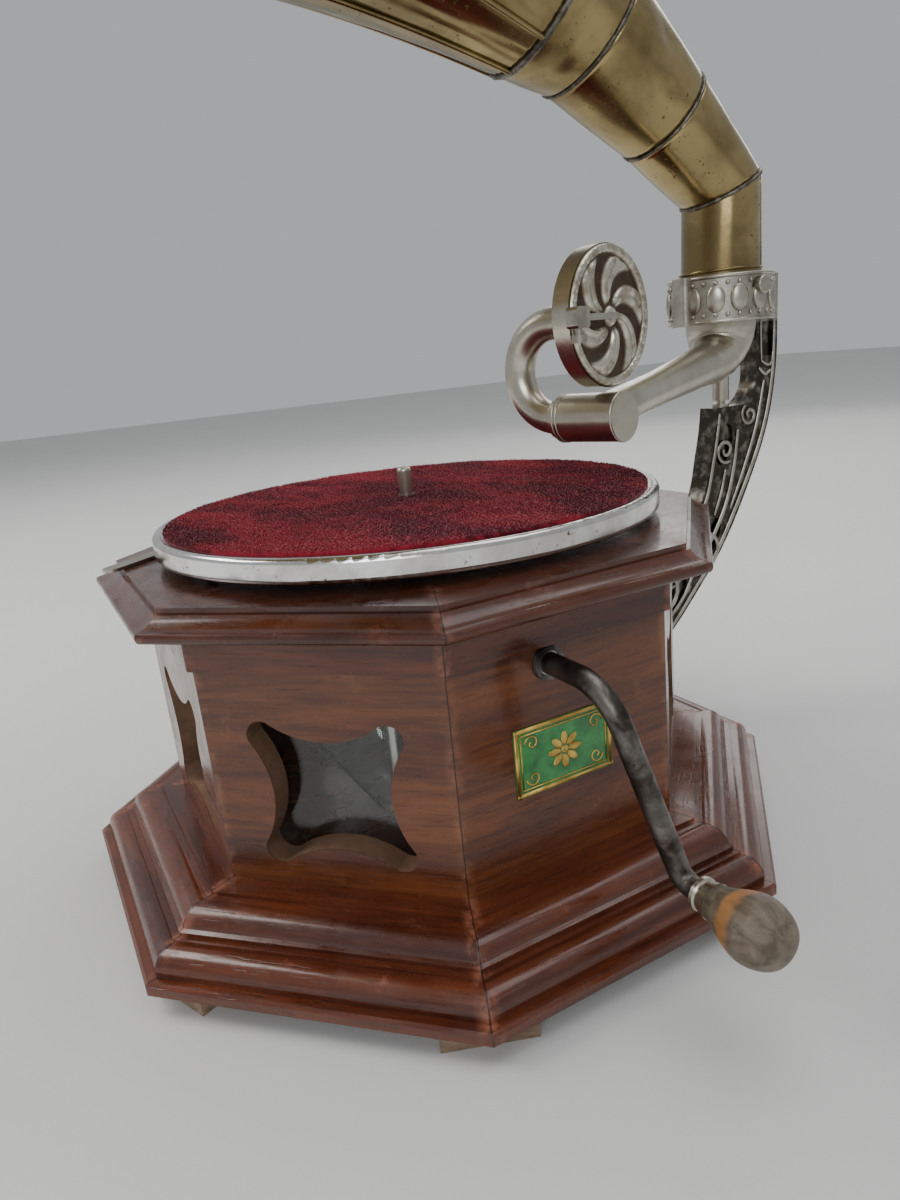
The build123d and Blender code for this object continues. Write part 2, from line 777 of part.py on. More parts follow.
# ---------------------------------------------------------------- the turntable
platter_top = -mat_thick
platter_plate = 1.5
hub_radius = 9.0
bore = 4.02
with BuildPart() as platter:
    with BuildSketch(Plane.XZ):
        with Locations((platter_radius - rim_width / 2, platter_top + 0.5 - rim_depth / 2)):
            RectangleRounded(rim_width, rim_depth, 2.4)
        with Locations(((bore + platter_radius - rim_width / 2) / 2, platter_top - platter_plate / 2)):
            Rectangle(platter_radius - rim_width / 2 - bore, platter_plate)
        with Locations(((bore + hub_radius) / 2, (platter_top - 1 + seat_top) / 2)):
            Rectangle(hub_radius - bore, platter_top - 1 - seat_top)
    revolve(axis=Axis.Z)
finish(platter, "platter")

with BuildPart() as mat:
    with BuildSketch(Plane.XY.offset(platter_top)):
        Circle(platter_radius - rim_width - 0.3)
        Circle(4.3, mode=Mode.SUBTRACT)
    extrude(amount=mat_thick)
    fillet(mat.edges().group_by(Axis.Z)[-1].sort_by(SortBy.LENGTH)[-1], 0.8)
finish(mat, "mat")

# brake lever on the lid: a strip that reaches out past the platter for the finger
lever_reach = 50.4
shoe_reach = 16.0
brake_bearing = -52.6
brake_along = (cos(radians(brake_bearing)), sin(radians(brake_bearing)))
shoe_at = (brake_at[0] - shoe_reach * brake_along[0], brake_at[1] - shoe_reach * brake_along[1])
strip_middle = (lever_reach - shoe_reach) / 2
strip_bottom = lid_top + gap
strip_thick = 1.5
with BuildPart() as brake_lever:
    with BuildSketch(Plane.XY.offset(strip_bottom)):
        with Locations((brake_at[0] + strip_middle * brake_along[0],
                        brake_at[1] + strip_middle * brake_along[1])):
            SlotCenterToCenter(lever_reach + shoe_reach, 9, rotation=brake_bearing)
        with Locations(brake_at):
            Circle(2.0, mode=Mode.SUBTRACT)
    extrude(amount=strip_thick)
finish(brake_lever, "brake_lever")

with BuildPart() as brake_shoe:
    with BuildSketch(Plane.XY.offset(strip_bottom + strip_thick)):
        with Locations(shoe_at):
            Circle(3)
    extrude(amount=9)
finish(brake_shoe, "brake_shoe")

with BuildPart() as brake_pivot:
    with BuildSketch(Plane.XY.offset(lid_bottom)):
        with Locations(brake_at):
            Circle(2.0 - fit)
    extrude(amount=strip_bottom + strip_thick - lid_bottom)
    with BuildSketch(Plane.XY.offset(strip_bottom + strip_thick)):
        with Locations(brake_at):
            Circle(4.2)
    extrude(amount=1.4)
finish(brake_pivot, "brake_pivot")

# ---------------------------------------------------------------- the crank
foot_y = shaft_y + crank_radius * sin(radians(crank_angle))
foot_z = shaft_z - crank_radius * cos(radians(crank_angle))
rod_start = case_apothem + 1.5
rod_end = crank_foot_x + 9
grip_end = 231.5
with BuildPart() as crank_rod:
    with BuildLine() as rod_path:
        FilletPolyline((rod_start, shaft_y, shaft_z), (crank_knee_x, shaft_y, shaft_z),
                       (crank_foot_x, foot_y, foot_z), (rod_end, foot_y, foot_z),
                       radius=[20, 6.5])
    with BuildSketch(Plane.YZ.offset(rod_start)):
        with Locations((shaft_y, shaft_z)):
            Circle(crank_rod_radius)
    sweep(path=rod_path.line)
    with BuildSketch(Plane.YZ.offset(rod_end)):
        with Locations((foot_y, foot_z)):
            Circle(2.5)
    extrude(amount=grip_end - 6 - rod_end)
finish(crank_rod, "crank_rod")

grip_plane = Plane(origin=(0, foot_y, foot_z), x_dir=(1, 0, 0), z_dir=(0, -1, 0))
grip_axis = Axis((0, foot_y, foot_z), (1, 0, 0))
ferrule_end = rod_end + 7
pin_bore = 2.5 + fit
with BuildPart() as crank_ferrule:
    with BuildSketch(grip_plane):
        with BuildLine():
            Polyline((rod_end + gap, pin_bore), (ferrule_end, pin_bore), (ferrule_end, 7.2),
                     (rod_end + 2.4, 6.0), (rod_end + 1.8, 6.6), (rod_end + gap, 6.6), close=True)
        make_face()
    revolve(axis=grip_axis)
finish(crank_ferrule, "crank_ferrule")

with BuildPart() as crank_grip:
    with BuildSketch(grip_plane):
        with BuildLine():
            Spline((ferrule_end, 6.8), (205, 8.2), (212, 11.2), (219, 12.6), (226, 10.8),
                           (grip_end, 0), tangents=((1, 0.15), (0, -1)))
            Polyline((grip_end, 0), (grip_end - 5.5, 0), (grip_end - 5.5, pin_bore),
                     (ferrule_end, pin_bore), (ferrule_end, 6.8))
        make_face()
    revolve(axis=grip_axis)
finish(crank_grip, "crank_grip")

# ---------------------------------------------------------------- the bracket
# a cast arm that stands on the back panel, sweeps out past the lid and up to the ring
bracket_foot_front = case_apothem + 0.2
bracket_foot_back = case_apothem + 5.2
spine_front = 249.0
spine_back = 268.0
shelf_z = 19.0
web_half = 6.5
with BuildPart() as horn_bracket:
    with BuildSketch(Plane.YZ):
        with BuildLine():
            Spline((bracket_foot_back - 1, foot_low + 3), (168, -122), (198, -94), (217, -73),
                   (243, -32), (259, 2), (266.4, 34), (spine_back, 64))
            Polyline((spine_back, 64), (spine_back, ring_top), (spine_front, ring_top),
                     (spine_front, 42))
            ThreePointArc((spine_front, 42), (246.5, 27), (238, shelf_z))
            Line((238, shelf_z), (214, shelf_z))
            Spline((214, shelf_z), (212, 4), (208, -14), (201, -37), (187, -50), (164, -58),
                   (bracket_foot_back - 1, foot_high - 2))
            Line((bracket_foot_back - 1, foot_high - 2), (bracket_foot_back - 1, foot_low + 3))
        make_face()
    extrude(amount=web_half, both=True)
    # sunk panels in both faces of the arm
    for face_x, depth in ((web_half, -1.6), (-web_half, 1.6)):
        with BuildSketch(Plane.YZ.offset(face_x)):
            with Locations((258.5, 64)):
                Rectangle(9, 34)
            with Locations((221, -4)):
                Ellipse(13, 6.5, rotation=72)
            with Locations((203, -66)):
                Ellipse(20, 9, rotation=48)
            with Locations((164, -91)):
                Ellipse(24, 17, rotation=20)
        extrude(amount=depth, mode=Mode.SUBTRACT)
    # foot plate against the back panel
    with BuildSketch(Plane.XZ.offset(-bracket_foot_back)):
        with Locations((0, (foot_low + foot_high) / 2)):
            RectangleRounded(52, foot_high - foot_low, 8)
        with Locations(*foot_screws):
            Circle(2.15, mode=Mode.SUBTRACT)
    extrude(amount=bracket_foot_back - bracket_foot_front)
    # horn ring, with a stepped bore and a lug on its front
    with BuildSketch(Plane.XY.offset(ring_bottom)):
        with Locations((0, pivot_y)):
            Circle(ring_radius)
        with Locations((0, pivot_y - ring_radius)):
            RectangleRounded(12, 10, 3)
        with Locations((0, pivot_y + ring_radius)):
            Rectangle(22, 9)
    extrude(amount=ring_top - ring_bottom)
    with BuildSketch(Plane.XY.offset(ring_bottom - 1)):
        with Locations((0, pivot_y)):
            Circle(21.4)
    extrude(amount=ring_top - ring_bottom + 2, mode=Mode.SUBTRACT)
    with BuildSketch(Plane.XY.offset(ring_seat)):
        with Locations((0, pivot_y)):
            Circle(neck_radius + 0.08)
    extrude(amount=ring_top - ring_seat + 1, mode=Mode.SUBTRACT)
    with BuildSketch(Plane.YZ.offset(20)):
        with Locations((pivot_y, ring_seat + 7)):
            Circle(2 + fit)
    extrude(amount=12, mode=Mode.SUBTRACT)
finish(horn_bracket, "horn_bracket")

with BuildPart() as bracket_screws:
    with BuildSketch(Plane.XZ.offset(-bracket_foot_back)):
        with Locations(*foot_screws):
            Circle(2.1)
    extrude(amount=bracket_foot_back - case_apothem + screw_reach)
    with BuildSketch(Plane.XZ.offset(-bracket_foot_back)):
        with Locations(*foot_screws):
            Circle(4)
    extrude(amount=-1.8)
finish(bracket_screws, "bracket_screws")

# thumb screw through the ring that holds the horn's neck
with BuildPart() as ring_screw:
    with BuildSketch(Plane.YZ.offset(neck_radius + 0.4)):
        with Locations((pivot_y, ring_seat + 7)):
            Circle(2)
    extrude(amount=ring_radius + 1 - neck_radius)
    with BuildSketch(Plane.YZ.offset(ring_radius + 0.4)):
        with Locations((pivot_y, ring_seat + 7)):
            Circle(5)
    extrude(amount=4)
    fillet(ring_screw.faces().sort_by(Axis.X)[-1].edges(), 1.2)
finish(ring_screw, "ring_screw")

with BuildPart() as arm_pivot:
    with BuildSketch(Plane.XY.offset(shelf_z)):
        with Locations((0, pivot_y)):
            Circle(5)
    extrude(amount=2)
    with BuildSketch(Plane.XY.offset(shelf_z)):
        with Locations((0, pivot_y)):
            Circle(2.5)
    extrude(amount=15)
finish(arm_pivot, "arm_pivot")

# ---------------------------------------------------------------- the tone arm
arm_along = (sin(radians(arm_azimuth)), -cos(radians(arm_azimuth)))
cross_along = (cos(radians(cross_azimuth)), sin(radians(cross_azimuth)), 0)
cross_at = (arm_length * arm_along[0], pivot_y + arm_length * arm_along[1], arm_end_z)
arm_wall = 1.2
# stations down the arm: distance out, height, downward tilt of the section, radius
arm_stations = ((0, 79, 90, 20.9), (0, 66, 90, 20.6), (0.8, 60.5, 80, 19.8), (3, 56, 65, 18.4),
                (7.5, 52, 47, 16.6), (14, 49.2, 29, 14.8), (24, 47.3, 14, 13.2),
                (40, 46, 7, 11.8), (80, 42.8, 5, 10.2), (119, 39.6, 5, 9), (190, 34.4, 4, 8.4))


def arm_section(station, thinner):
    """The round section of the arm at one station, thinner by the given wall."""
    out, height, tilt, radius = station
    level = cos(radians(tilt))
    heading = (level * arm_along[0], level * arm_along[1], -sin(radians(tilt)))
    side = (arm_along[1], -arm_along[0], 0)
    centre = (out * arm_along[0], pivot_y + out * arm_along[1], height)
    with BuildSketch(Plane(origin=centre, x_dir=side, z_dir=heading)) as section:
        Circle(radius - thinner)
    return section.sketch.face()


def arm_body(thinner):
    """The arm from its open top round the elbow to the cross tube, as one solid."""
    with BuildPart(mode=Mode.PRIVATE) as body:
        for lower, upper in zip(arm_stations, arm_stations[1:]):
            loft(sections=[arm_section(lower, thinner), arm_section(upper, thinner)], ruled=True)
    return body.part


with BuildPart() as tonearm:
    add(arm_body(0))
    with BuildSketch(Plane(origin=cross_at, x_dir=(0, 0, 1), z_dir=cross_along)):
        Circle(cross_radius)
    extrude(amount=cross_half, both=True)
    with BuildSketch(Plane.XY.offset(shelf_z + 4)):
        with Locations((0, pivot_y)):
            Circle(5)
    extrude(amount=22)
    add(arm_body(arm_wall), mode=Mode.SUBTRACT)
    with BuildSketch(Plane(origin=cross_at, x_dir=(0, 0, 1), z_dir=cross_along)):
        Circle(gooseneck_radius + fit)
    extrude(amount=-cross_half - 1, mode=Mode.SUBTRACT)
    with BuildSketch(Plane.XY.offset(shelf_z)):
        with Locations((0, pivot_y)):
            Circle(2.5 + fit)
    extrude(amount=16, mode=Mode.SUBTRACT)
finish(tonearm, "tonearm")

# gooseneck: out of the cross tube, round and back above it to the sound box
neck_plane = Plane(origin=(cross_at[0], cross_at[1], 0), x_dir=cross_along,
                   z_dir=(cross_along[1], -cross_along[0], 0))
bend_at = -19.0
bend_radius = neck_rise / 2
neck_start = -4.0
box_back = 1.0
with BuildPart() as gooseneck:
    with BuildLine(neck_plane) as neck_path:
        Line((neck_start, arm_end_z), (bend_at, arm_end_z))
        ThreePointArc((bend_at, arm_end_z), (bend_at - bend_radius, arm_end_z + bend_radius),
                      (bend_at, arm_end_z + neck_rise))
        Line((bend_at, arm_end_z + neck_rise), (box_back, arm_end_z + neck_rise))
    with BuildSketch(Plane(origin=neck_plane.from_local_coords((neck_start, arm_end_z, 0)),
                           x_dir=(0, 0, 1), z_dir=[-part for part in cross_along])):
        Circle(gooseneck_radius)
        Circle(gooseneck_radius - gooseneck_wall, mode=Mode.SUBTRACT)
    sweep(path=neck_path.line)
    with BuildSketch(Plane(origin=neck_plane.from_local_coords((-cross_half - gap, arm_end_z, 0)),
                           x_dir=(0, 0, 1), z_dir=[-part for part in cross_along])):
        Circle(9)
        Circle(gooseneck_radius - 0.5, mode=Mode.SUBTRACT)
    extrude(amount=2.4)
finish(gooseneck, "gooseneck")


def box_plane(out):
    """A plane across the sound box, facing its front, with local X forwards."""
    return Plane(origin=neck_plane.from_local_coords((out, arm_end_z + neck_rise, 0)),
                 x_dir=(cross_along[1], -cross_along[0], 0), z_dir=cross_along)


case_back = 2.0
case_front = 10.0
with BuildPart() as soundbox_case:
    with BuildSketch(box_plane(case_back)):
        Circle(soundbox_radius)
        Circle(gooseneck_radius - gooseneck_wall, mode=Mode.SUBTRACT)
    extrude(amount=2)
    with BuildSketch(box_plane(case_back + 2)):
        Circle(soundbox_radius)
        Circle(soundbox_radius - 2.5, mode=Mode.SUBTRACT)
    extrude(amount=case_front - case_back - 2)
    with BuildSketch(box_plane(-3)):
        Circle(10)
        Circle(gooseneck_radius + 0.02, mode=Mode.SUBTRACT)
    extrude(amount=case_back + 3)
finish(soundbox_case, "soundbox_case")

with BuildPart() as diaphragm:
    with BuildSketch(box_plane(7)):
        Circle(soundbox_radius - 2.6)
    extrude(amount=0.6)
finish(diaphragm, "diaphragm")

# pierced front cover: a rim and curved arms that run in to a small boss
front_arms = 6
with BuildPart() as soundbox_front:
    with BuildSketch(box_plane(case_front)):
        Circle(soundbox_radius)
        Circle(soundbox_radius - 4.5, mode=Mode.SUBTRACT)
        with BuildSketch(mode=Mode.PRIVATE) as front_arm:
            with BuildLine():
                ThreePointArc((4, -2), (14, -5.5), (25, 0))
                Line((25, 0), (25, 5))
                ThreePointArc((25, 5), (14, -1), (4, 2))
                Line((4, 2), (4, -2))
            make_face()
        with PolarLocations(0, front_arms):
            add(front_arm.sketch)
        Circle(6)
        Circle(2, mode=Mode.SUBTRACT)
    extrude(amount=1.8)
finish(soundbox_front, "soundbox_front")

# needle holder: a block on the forward rim and a bar to the middle of the diaphragm
with BuildPart() as needle_holder:
    with BuildSketch(box_plane(case_front + 1.9)):
        with Locations((14, 0)):
            Rectangle(30, 2.6)
    extrude(amount=2)
    with BuildSketch(box_plane(case_front + 1.9)):
        with Locations((28.6, 0)):
            RectangleRounded(8.5, 8, 1.5)
    extrude(amount=5.5)
    with BuildSketch(box_plane(7.6)):
        Circle(1)
    extrude(amount=case_front + 2.5 - 7.6)
finish(needle_holder, "needle_holder")

with BuildPart() as needle_screw:
    with BuildSketch(Plane(origin=box_plane(case_front + 4.8).from_local_coords((28.6, 4.0, 0)),
                           x_dir=cross_along, z_dir=box_plane(0).y_dir)):
        Circle(1.4)
    extrude(amount=3.5)
    with BuildSketch(Plane(origin=box_plane(case_front + 4.8).from_local_coords((28.6, 6.5, 0)),
                           x_dir=cross_along, z_dir=box_plane(0).y_dir)):
        Circle(3)
    extrude(amount=3)
finish(needle_screw, "needle_screw")

# ---------------------------------------------------------------- the horn
with BuildPart() as horn_neck:
    first_seam = horn_seams[0]
    for thinner, mode in ((0, Mode.ADD), (horn_wall, Mode.SUBTRACT)):
        with BuildSketch(Plane.XY.offset(ring_seat + gap)) as neck_foot:
            with Locations((0, pivot_y)):
                Circle(neck_radius - thinner)
        with BuildSketch(leaning(first_seam[0], first_seam[1], first_seam[3])) as neck_head:
            Circle(neck_radius - thinner)
        loft(sections=[neck_foot.sketch.face(), neck_head.sketch.face()], ruled=True, mode=mode)
finish(horn_neck, "horn_neck")


def seam_disc(seam, thinner, shift):
    """The disc that fills the horn at one seam, shifted along the seam's axis."""
    back, height, radius, tilt = seam
    with BuildSketch(leaning(back, height, tilt).offset(shift)) as disc:
        Circle(radius - thinner)
    return disc.sketch.face()


# three soldered lengths of tube between the seams of the elbow
solder_gap = 0.02
with BuildPart() as horn_segments:
    for lower, upper in zip(horn_seams, horn_seams[1:]):
        with BuildPart(mode=Mode.PRIVATE) as cone:
            for thinner, mode in ((0, Mode.ADD), (horn_wall, Mode.SUBTRACT)):
                loft(sections=[seam_disc(lower, thinner, solder_gap),
                               seam_disc(upper, thinner, -solder_gap)], ruled=True, mode=mode)
        add(cone.part)
finish(horn_segments, "horn_segments")

# flower bell: petals of one pattern, each bulged between its two seams
throat = horn_seams[-1]
petal_half = 180 / petal_count
bell_stations = (0, 50, 110, 170, 220, 260, 290, 308, bell_length)


def bell_radius(out):
    """Radius of the bell at its seams, at a distance out from the throat."""
    return throat[2] * exp(0.0048 * out) + 34 * (out / bell_length) ** 8


def petal_section(out):
    """A thin curved strip across one petal."""
    seam = bell_radius(out)
    bulge = 0.036 * seam * out / bell_length
    edge = radians(petal_half - degrees(0.06 / seam))
    with BuildSketch(Plane.XY.offset(out)) as strip:
        with BuildLine():
            ends = []
            for radius in (seam, seam - horn_wall):
                start = (radius * cos(edge), -radius * sin(edge))
                stop = (radius * cos(edge), radius * sin(edge))
                ThreePointArc(start, (radius + bulge, 0), stop)
                ends.append((start, stop))
            Line(ends[0][0], ends[1][0])
            Line(ends[0][1], ends[1][1])
        make_face()
    return strip.sketch.face()


petal_round = 85.0
with BuildPart() as petal:
    loft(sections=[petal_section(out) for out in bell_stations])
    with BuildSketch(Plane.XY) as outline:
        Circle(150)
        with Locations((bell_radius(bell_length) + 6 - petal_round, 0)):
            Circle(petal_round)
    extrude(amount=bell_length + 1, mode=Mode.INTERSECT)

with BuildPart() as horn_petals:
    with Locations(leaning(throat[0], throat[1], bell_tilt)):
        with PolarLocations(0, petal_count):
            add(petal.part)
finish(horn_petals, "horn_petals")
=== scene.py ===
from math import cos, exp, pi, radians, sin

import bmesh
import bpy
from mathutils import Matrix, Vector
from mathutils import noise as fractal


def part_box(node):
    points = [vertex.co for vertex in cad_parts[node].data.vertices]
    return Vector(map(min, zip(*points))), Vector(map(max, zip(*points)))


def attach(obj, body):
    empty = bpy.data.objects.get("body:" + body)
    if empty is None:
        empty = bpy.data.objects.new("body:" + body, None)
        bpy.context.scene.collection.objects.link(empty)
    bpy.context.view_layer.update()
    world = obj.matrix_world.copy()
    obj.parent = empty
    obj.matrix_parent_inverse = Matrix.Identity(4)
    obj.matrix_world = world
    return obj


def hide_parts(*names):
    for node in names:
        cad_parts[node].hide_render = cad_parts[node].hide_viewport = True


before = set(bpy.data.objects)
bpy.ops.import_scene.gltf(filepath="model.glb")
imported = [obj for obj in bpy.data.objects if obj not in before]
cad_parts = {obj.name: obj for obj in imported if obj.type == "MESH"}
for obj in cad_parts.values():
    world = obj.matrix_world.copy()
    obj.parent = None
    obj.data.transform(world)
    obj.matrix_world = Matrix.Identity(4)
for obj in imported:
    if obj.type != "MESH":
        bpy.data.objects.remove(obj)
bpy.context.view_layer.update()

mm = 0.001
postY = 225  # mm from the spindle back to the post that the arm and the horn turn on


# small helpers for node trees, the same ones serve shaders and geometry
def isSocket(value):
    return isinstance(value, bpy.types.NodeSocket)


def feed(tree, socket, value):
    if isSocket(value):
        tree.links.new(value, socket)
    elif value is not None:
        socket.default_value = value


def node(tree, kind, inputs=None, **settings):
    made = tree.nodes.new(kind)
    for name, value in settings.items():
        setattr(made, name, value)
    for name, value in (inputs or {}).items():
        feed(tree, made.inputs[name], value)
    return made


def calc(tree, operation, first, second=None, third=None):
    made = tree.nodes.new("ShaderNodeMath")
    made.operation = operation
    for socket, value in zip(made.inputs, (first, second, third)):
        feed(tree, socket, value)
    return made.outputs[0]


def plus(tree, first, second):
    return calc(tree, "ADD", first, second)


def minus(tree, first, second):
    return calc(tree, "SUBTRACT", first, second)


def times(tree, first, second):
    return calc(tree, "MULTIPLY", first, second)


def over(tree, first, second):
    return calc(tree, "DIVIDE", first, second)


def ramp(tree, value, low, high, start=0.0, end=1.0):  # smooth step between two levels
    made = node(tree, "ShaderNodeMapRange", {"Value": value, "From Min": low, "From Max": high,
                                             "To Min": start, "To Max": end},
                interpolation_type="SMOOTHSTEP")
    return made.outputs["Result"]


def blendColours(tree, amount, under, above):
    made = node(tree, "ShaderNodeMix", data_type="RGBA", blend_type="MIX", clamp_factor=True)
    feed(tree, made.inputs[0], amount)
    feed(tree, made.inputs[6], under)
    feed(tree, made.inputs[7], above)
    return made.outputs[2]


def cloud(tree, place, size, detail=3.0, rough=0.55, warp=0.0, stretch=None):
    if stretch:
        place = node(tree, "ShaderNodeVectorMath", {0: place, 1: stretch},
                     operation="MULTIPLY").outputs[0]
    return node(tree, "ShaderNodeTexNoise", {"Vector": place, "Scale": size, "Detail": detail,
                                             "Roughness": rough, "Distortion": warp}).outputs["Fac"]


def axes(tree, where):
    return node(tree, "ShaderNodeSeparateXYZ", {0: where}).outputs


def startGroup(name, inputs, outputs):
    group = bpy.data.node_groups.new(name, "ShaderNodeTree")
    for label, kind, value in inputs:
        group.interface.new_socket(label, in_out="INPUT", socket_type=kind).default_value = value
    for label, kind in outputs:
        group.interface.new_socket(label, in_out="OUTPUT", socket_type=kind)
    taken = group.nodes.new("NodeGroupInput").outputs
    given = group.nodes.new("NodeGroupOutput").inputs
    place = group.nodes.new("ShaderNodeTexCoord").outputs["Object"]
    return group, taken, given, place


def endGroup(group, given, base, rough, tall):
    feed(group, given["Color"], base)
    feed(group, given["Roughness"], rough)
    feed(group, given["Height"], tall)
    return group


colour, number = "NodeSocketColor", "NodeSocketFloat"
eighth = pi / 4


def eightSides(tree, where):
    # which of the eight sides a point is on, how far out it is and how far along that side
    split = axes(tree, where)
    angle = calc(tree, "ARCTAN2", split[1], split[0])
    side = times(tree, calc(tree, "ROUND", over(tree, angle, eighth)), eighth)
    c, s = calc(tree, "COSINE", side), calc(tree, "SINE", side)
    out = plus(tree, times(tree, split[0], c), times(tree, split[1], s))
    along = minus(tree, times(tree, split[1], c), times(tree, split[0], s))
    return side, out, along, split[2]


def makeSidedGrain():
    # timber whose grain runs level along each of the eight sides, dark at the mitres
    group, taken, given, place = startGroup("sidedGrain", (
        ("Light", colour, (0.3, 0.1, 0.05, 1)), ("Dark", colour, (0.1, 0.03, 0.02, 1)),
        ("Worn", colour, (0.4, 0.2, 0.1, 1)), ("Wear", number, 0.5),
        ("Mitre", number, 1.0)),
        (("Color", colour), ("Roughness", number), ("Height", number)))
    side, out, along, height = eightSides(group, place)
    shift = times(group, side, 1.7)
    grainPlace = node(group, "ShaderNodeCombineXYZ", {
        0: plus(group, times(group, along, 5.0), shift),
        1: times(group, out, 30.0), 2: times(group, height, 60.0)}).outputs[0]
    broad = cloud(group, grainPlace, 1.0, 4.0, 0.6, 0.9)
    fine = cloud(group, grainPlace, 6.0, 5.0, 0.7, 0.3)
    pores = cloud(group, grainPlace, 22.0, 2.0, 0.5, 0.0, (0.7, 1, 1))
    poreMask = ramp(group, pores, 0.60, 0.72)
    mixed = plus(group, times(group, broad, 0.6), times(group, fine, 0.4))
    base = blendColours(group, ramp(group, mixed, 0.34, 0.66), taken["Dark"], taken["Light"])
    base = blendColours(group, times(group, poreMask, 0.55), base, taken["Dark"])
    patches = cloud(group, place, 14.0, 4.0, 0.6)
    base = blendColours(group, ramp(group, patches, 0.35, 0.75, 0.0, 0.35), base, taken["Dark"])
    # the sharp arrises, by how far round the side a point is
    ratio = over(group, calc(group, "ABSOLUTE", along), calc(group, "ABSOLUTE", out))
    corner = ramp(group, ratio, 0.375, 0.413)
    chips = ramp(group, cloud(group, place, 90.0, 4.0, 0.7), 0.42, 0.62)
    wear = times(group, times(group, corner, chips), taken["Wear"])
    rub = times(group, ramp(group, cloud(group, place, 45.0, 5.0, 0.75), 0.60, 0.72),
               times(group, taken["Wear"], 0.5))
    base = blendColours(group, calc(group, "MAXIMUM", wear, rub), base, taken["Worn"])
    joint = times(group, ramp(group, ratio, 0.4105, 0.4135), taken["Mitre"])
    base = blendColours(group, times(group, joint, 0.8), base, (0.02, 0.008, 0.005, 1))
    smear = cloud(group, place, 30.0, 5.0, 0.65, 0.6)
    rough = ramp(group, smear, 0.3, 0.75, 0.16, 0.42)
    rough = plus(group, rough, times(group, wear, 0.25))
    tall = minus(group, times(group, fine, 0.5), times(group, poreMask, 0.5))
    tall = minus(group, tall, times(group, joint, 1.5))
    return endGroup(group, given, base, rough, tall)


def makeTarnish():
    # metal that has dulled in clouds, with dark specks and fine scratches
    group, taken, given, place = startGroup("tarnish", (
        ("Bright", colour, (0.7, 0.7, 0.7, 1)), ("Dull", colour, (0.4, 0.38, 0.3, 1)),
        ("Speck", colour, (0.1, 0.05, 0.03, 1)), ("Cloud Size", number, 30.0),
        ("Speck Amount", number, 0.5), ("Smooth", number, 0.2), ("Rough", number, 0.45)),
        (("Color", colour), ("Roughness", number), ("Height", number)))
    big = cloud(group, place, taken["Cloud Size"], 5.0, 0.62, 0.4)
    clouds = ramp(group, big, 0.38, 0.64)
    base = blendColours(group, clouds, taken["Bright"], taken["Dull"])
    speckles = ramp(group, cloud(group, place, 420.0, 3.0, 0.6), 0.63, 0.70)
    where = ramp(group, cloud(group, place, 38.0, 3.0, 0.6), 0.45, 0.62)
    specks = times(group, times(group, speckles, where), taken["Speck Amount"])
    base = blendColours(group, specks, base, taken["Speck"])
    lines = cloud(group, place, 60.0, 4.0, 0.8, 0.2, (1, 14, 14))
    lines2 = cloud(group, place, 70.0, 4.0, 0.8, 0.2, (13, 1.3, 9))
    scratch = times(group, plus(group, lines, lines2), 0.5)
    rough = plus(group, ramp(group, big, 0.3, 0.7, 0.0, 1.0), times(group, scratch, 0.4))
    rough = node(group, "ShaderNodeMapRange", {
        "Value": rough, "From Min": 0.0, "From Max": 1.4,
        "To Min": taken["Smooth"], "To Max": taken["Rough"]}).outputs[0]
    rough = plus(group, rough, times(group, specks, 0.4))
    tall = minus(group, times(group, scratch, 0.6), times(group, specks, 0.8))
    return endGroup(group, given, base, rough, tall)


sidedGrain = makeSidedGrain()
tarnish = makeTarnish()
print("stage: shared effects made")


def newMaterial(name, **plain):
    made = bpy.data.materials.new(name)
    made.use_nodes = True
    tree = made.node_tree
    shader = tree.nodes["Principled BSDF"]
    for label, value in plain.items():
        shader.inputs[label.replace("_", " ")].default_value = value
    return made, tree, shader


def place(tree):
    return tree.nodes.new("ShaderNodeTexCoord").outputs["Object"]


def paint(tree, shader, base, rough=None):
    feed(tree, shader.inputs["Base Color"], base)
    feed(tree, shader.inputs["Roughness"], rough)


def bumped(tree, shader, height, strength, distance):
    made = node(tree, "ShaderNodeBump", {"Height": height, "Strength": strength, "Distance": distance})
    tree.links.new(made.outputs[0], shader.inputs["Normal"])


def useGroup(tree, group, **values):
    made = tree.nodes.new("ShaderNodeGroup")
    made.node_tree = group
    for label, value in values.items():
        feed(tree, made.inputs[label.replace("_", " ")], value)
    return made.outputs


varnish = {"light": (0.185, 0.054, 0.015, 1), "dark": (0.052, 0.012, 0.005, 1),
           "worn": (0.36, 0.16, 0.08, 1), "bump": 0.3}


def makeVarnished(name, wear, shade=(1, 1, 1), mitre=1.0, cutEdges=False, tones=varnish, coat=0.35):
    made, tree, shader = newMaterial(name, Coat_Weight=coat, Coat_Roughness=0.12, IOR=1.5)
    tone = lambda key: tuple(part * by for part, by in zip(tones[key], shade)) + (1,)
    wood = useGroup(tree, sidedGrain, Light=tone("light"), Dark=tone("dark"), Worn=tone("worn"),
                    Wear=wear, Mitre=mitre)
    shown, rough = wood["Color"], wood["Roughness"]
    if cutEdges:  # bare, dirty wood wherever the surface isn't the panel's outer face
        where = place(tree)
        out = eightSides(tree, where)[1]
        inside = ramp(tree, out, 0.1299, 0.1295)
        bare = blendColours(tree, cloud(tree, where, 120.0, 5.0, 0.7),
                            (0.05, 0.024, 0.015, 1), (0.27, 0.15, 0.085, 1))
        shown = blendColours(tree, inside, shown, bare)
        rough = calc(tree, "MAXIMUM", rough, times(tree, inside, 0.75))
        tree.links.new(minus(tree, coat, times(tree, inside, coat)), shader.inputs["Coat Weight"])
    paint(tree, shader, shown, rough)
    bumped(tree, shader, wood["Height"], varnish["bump"], 0.0006)
    return made


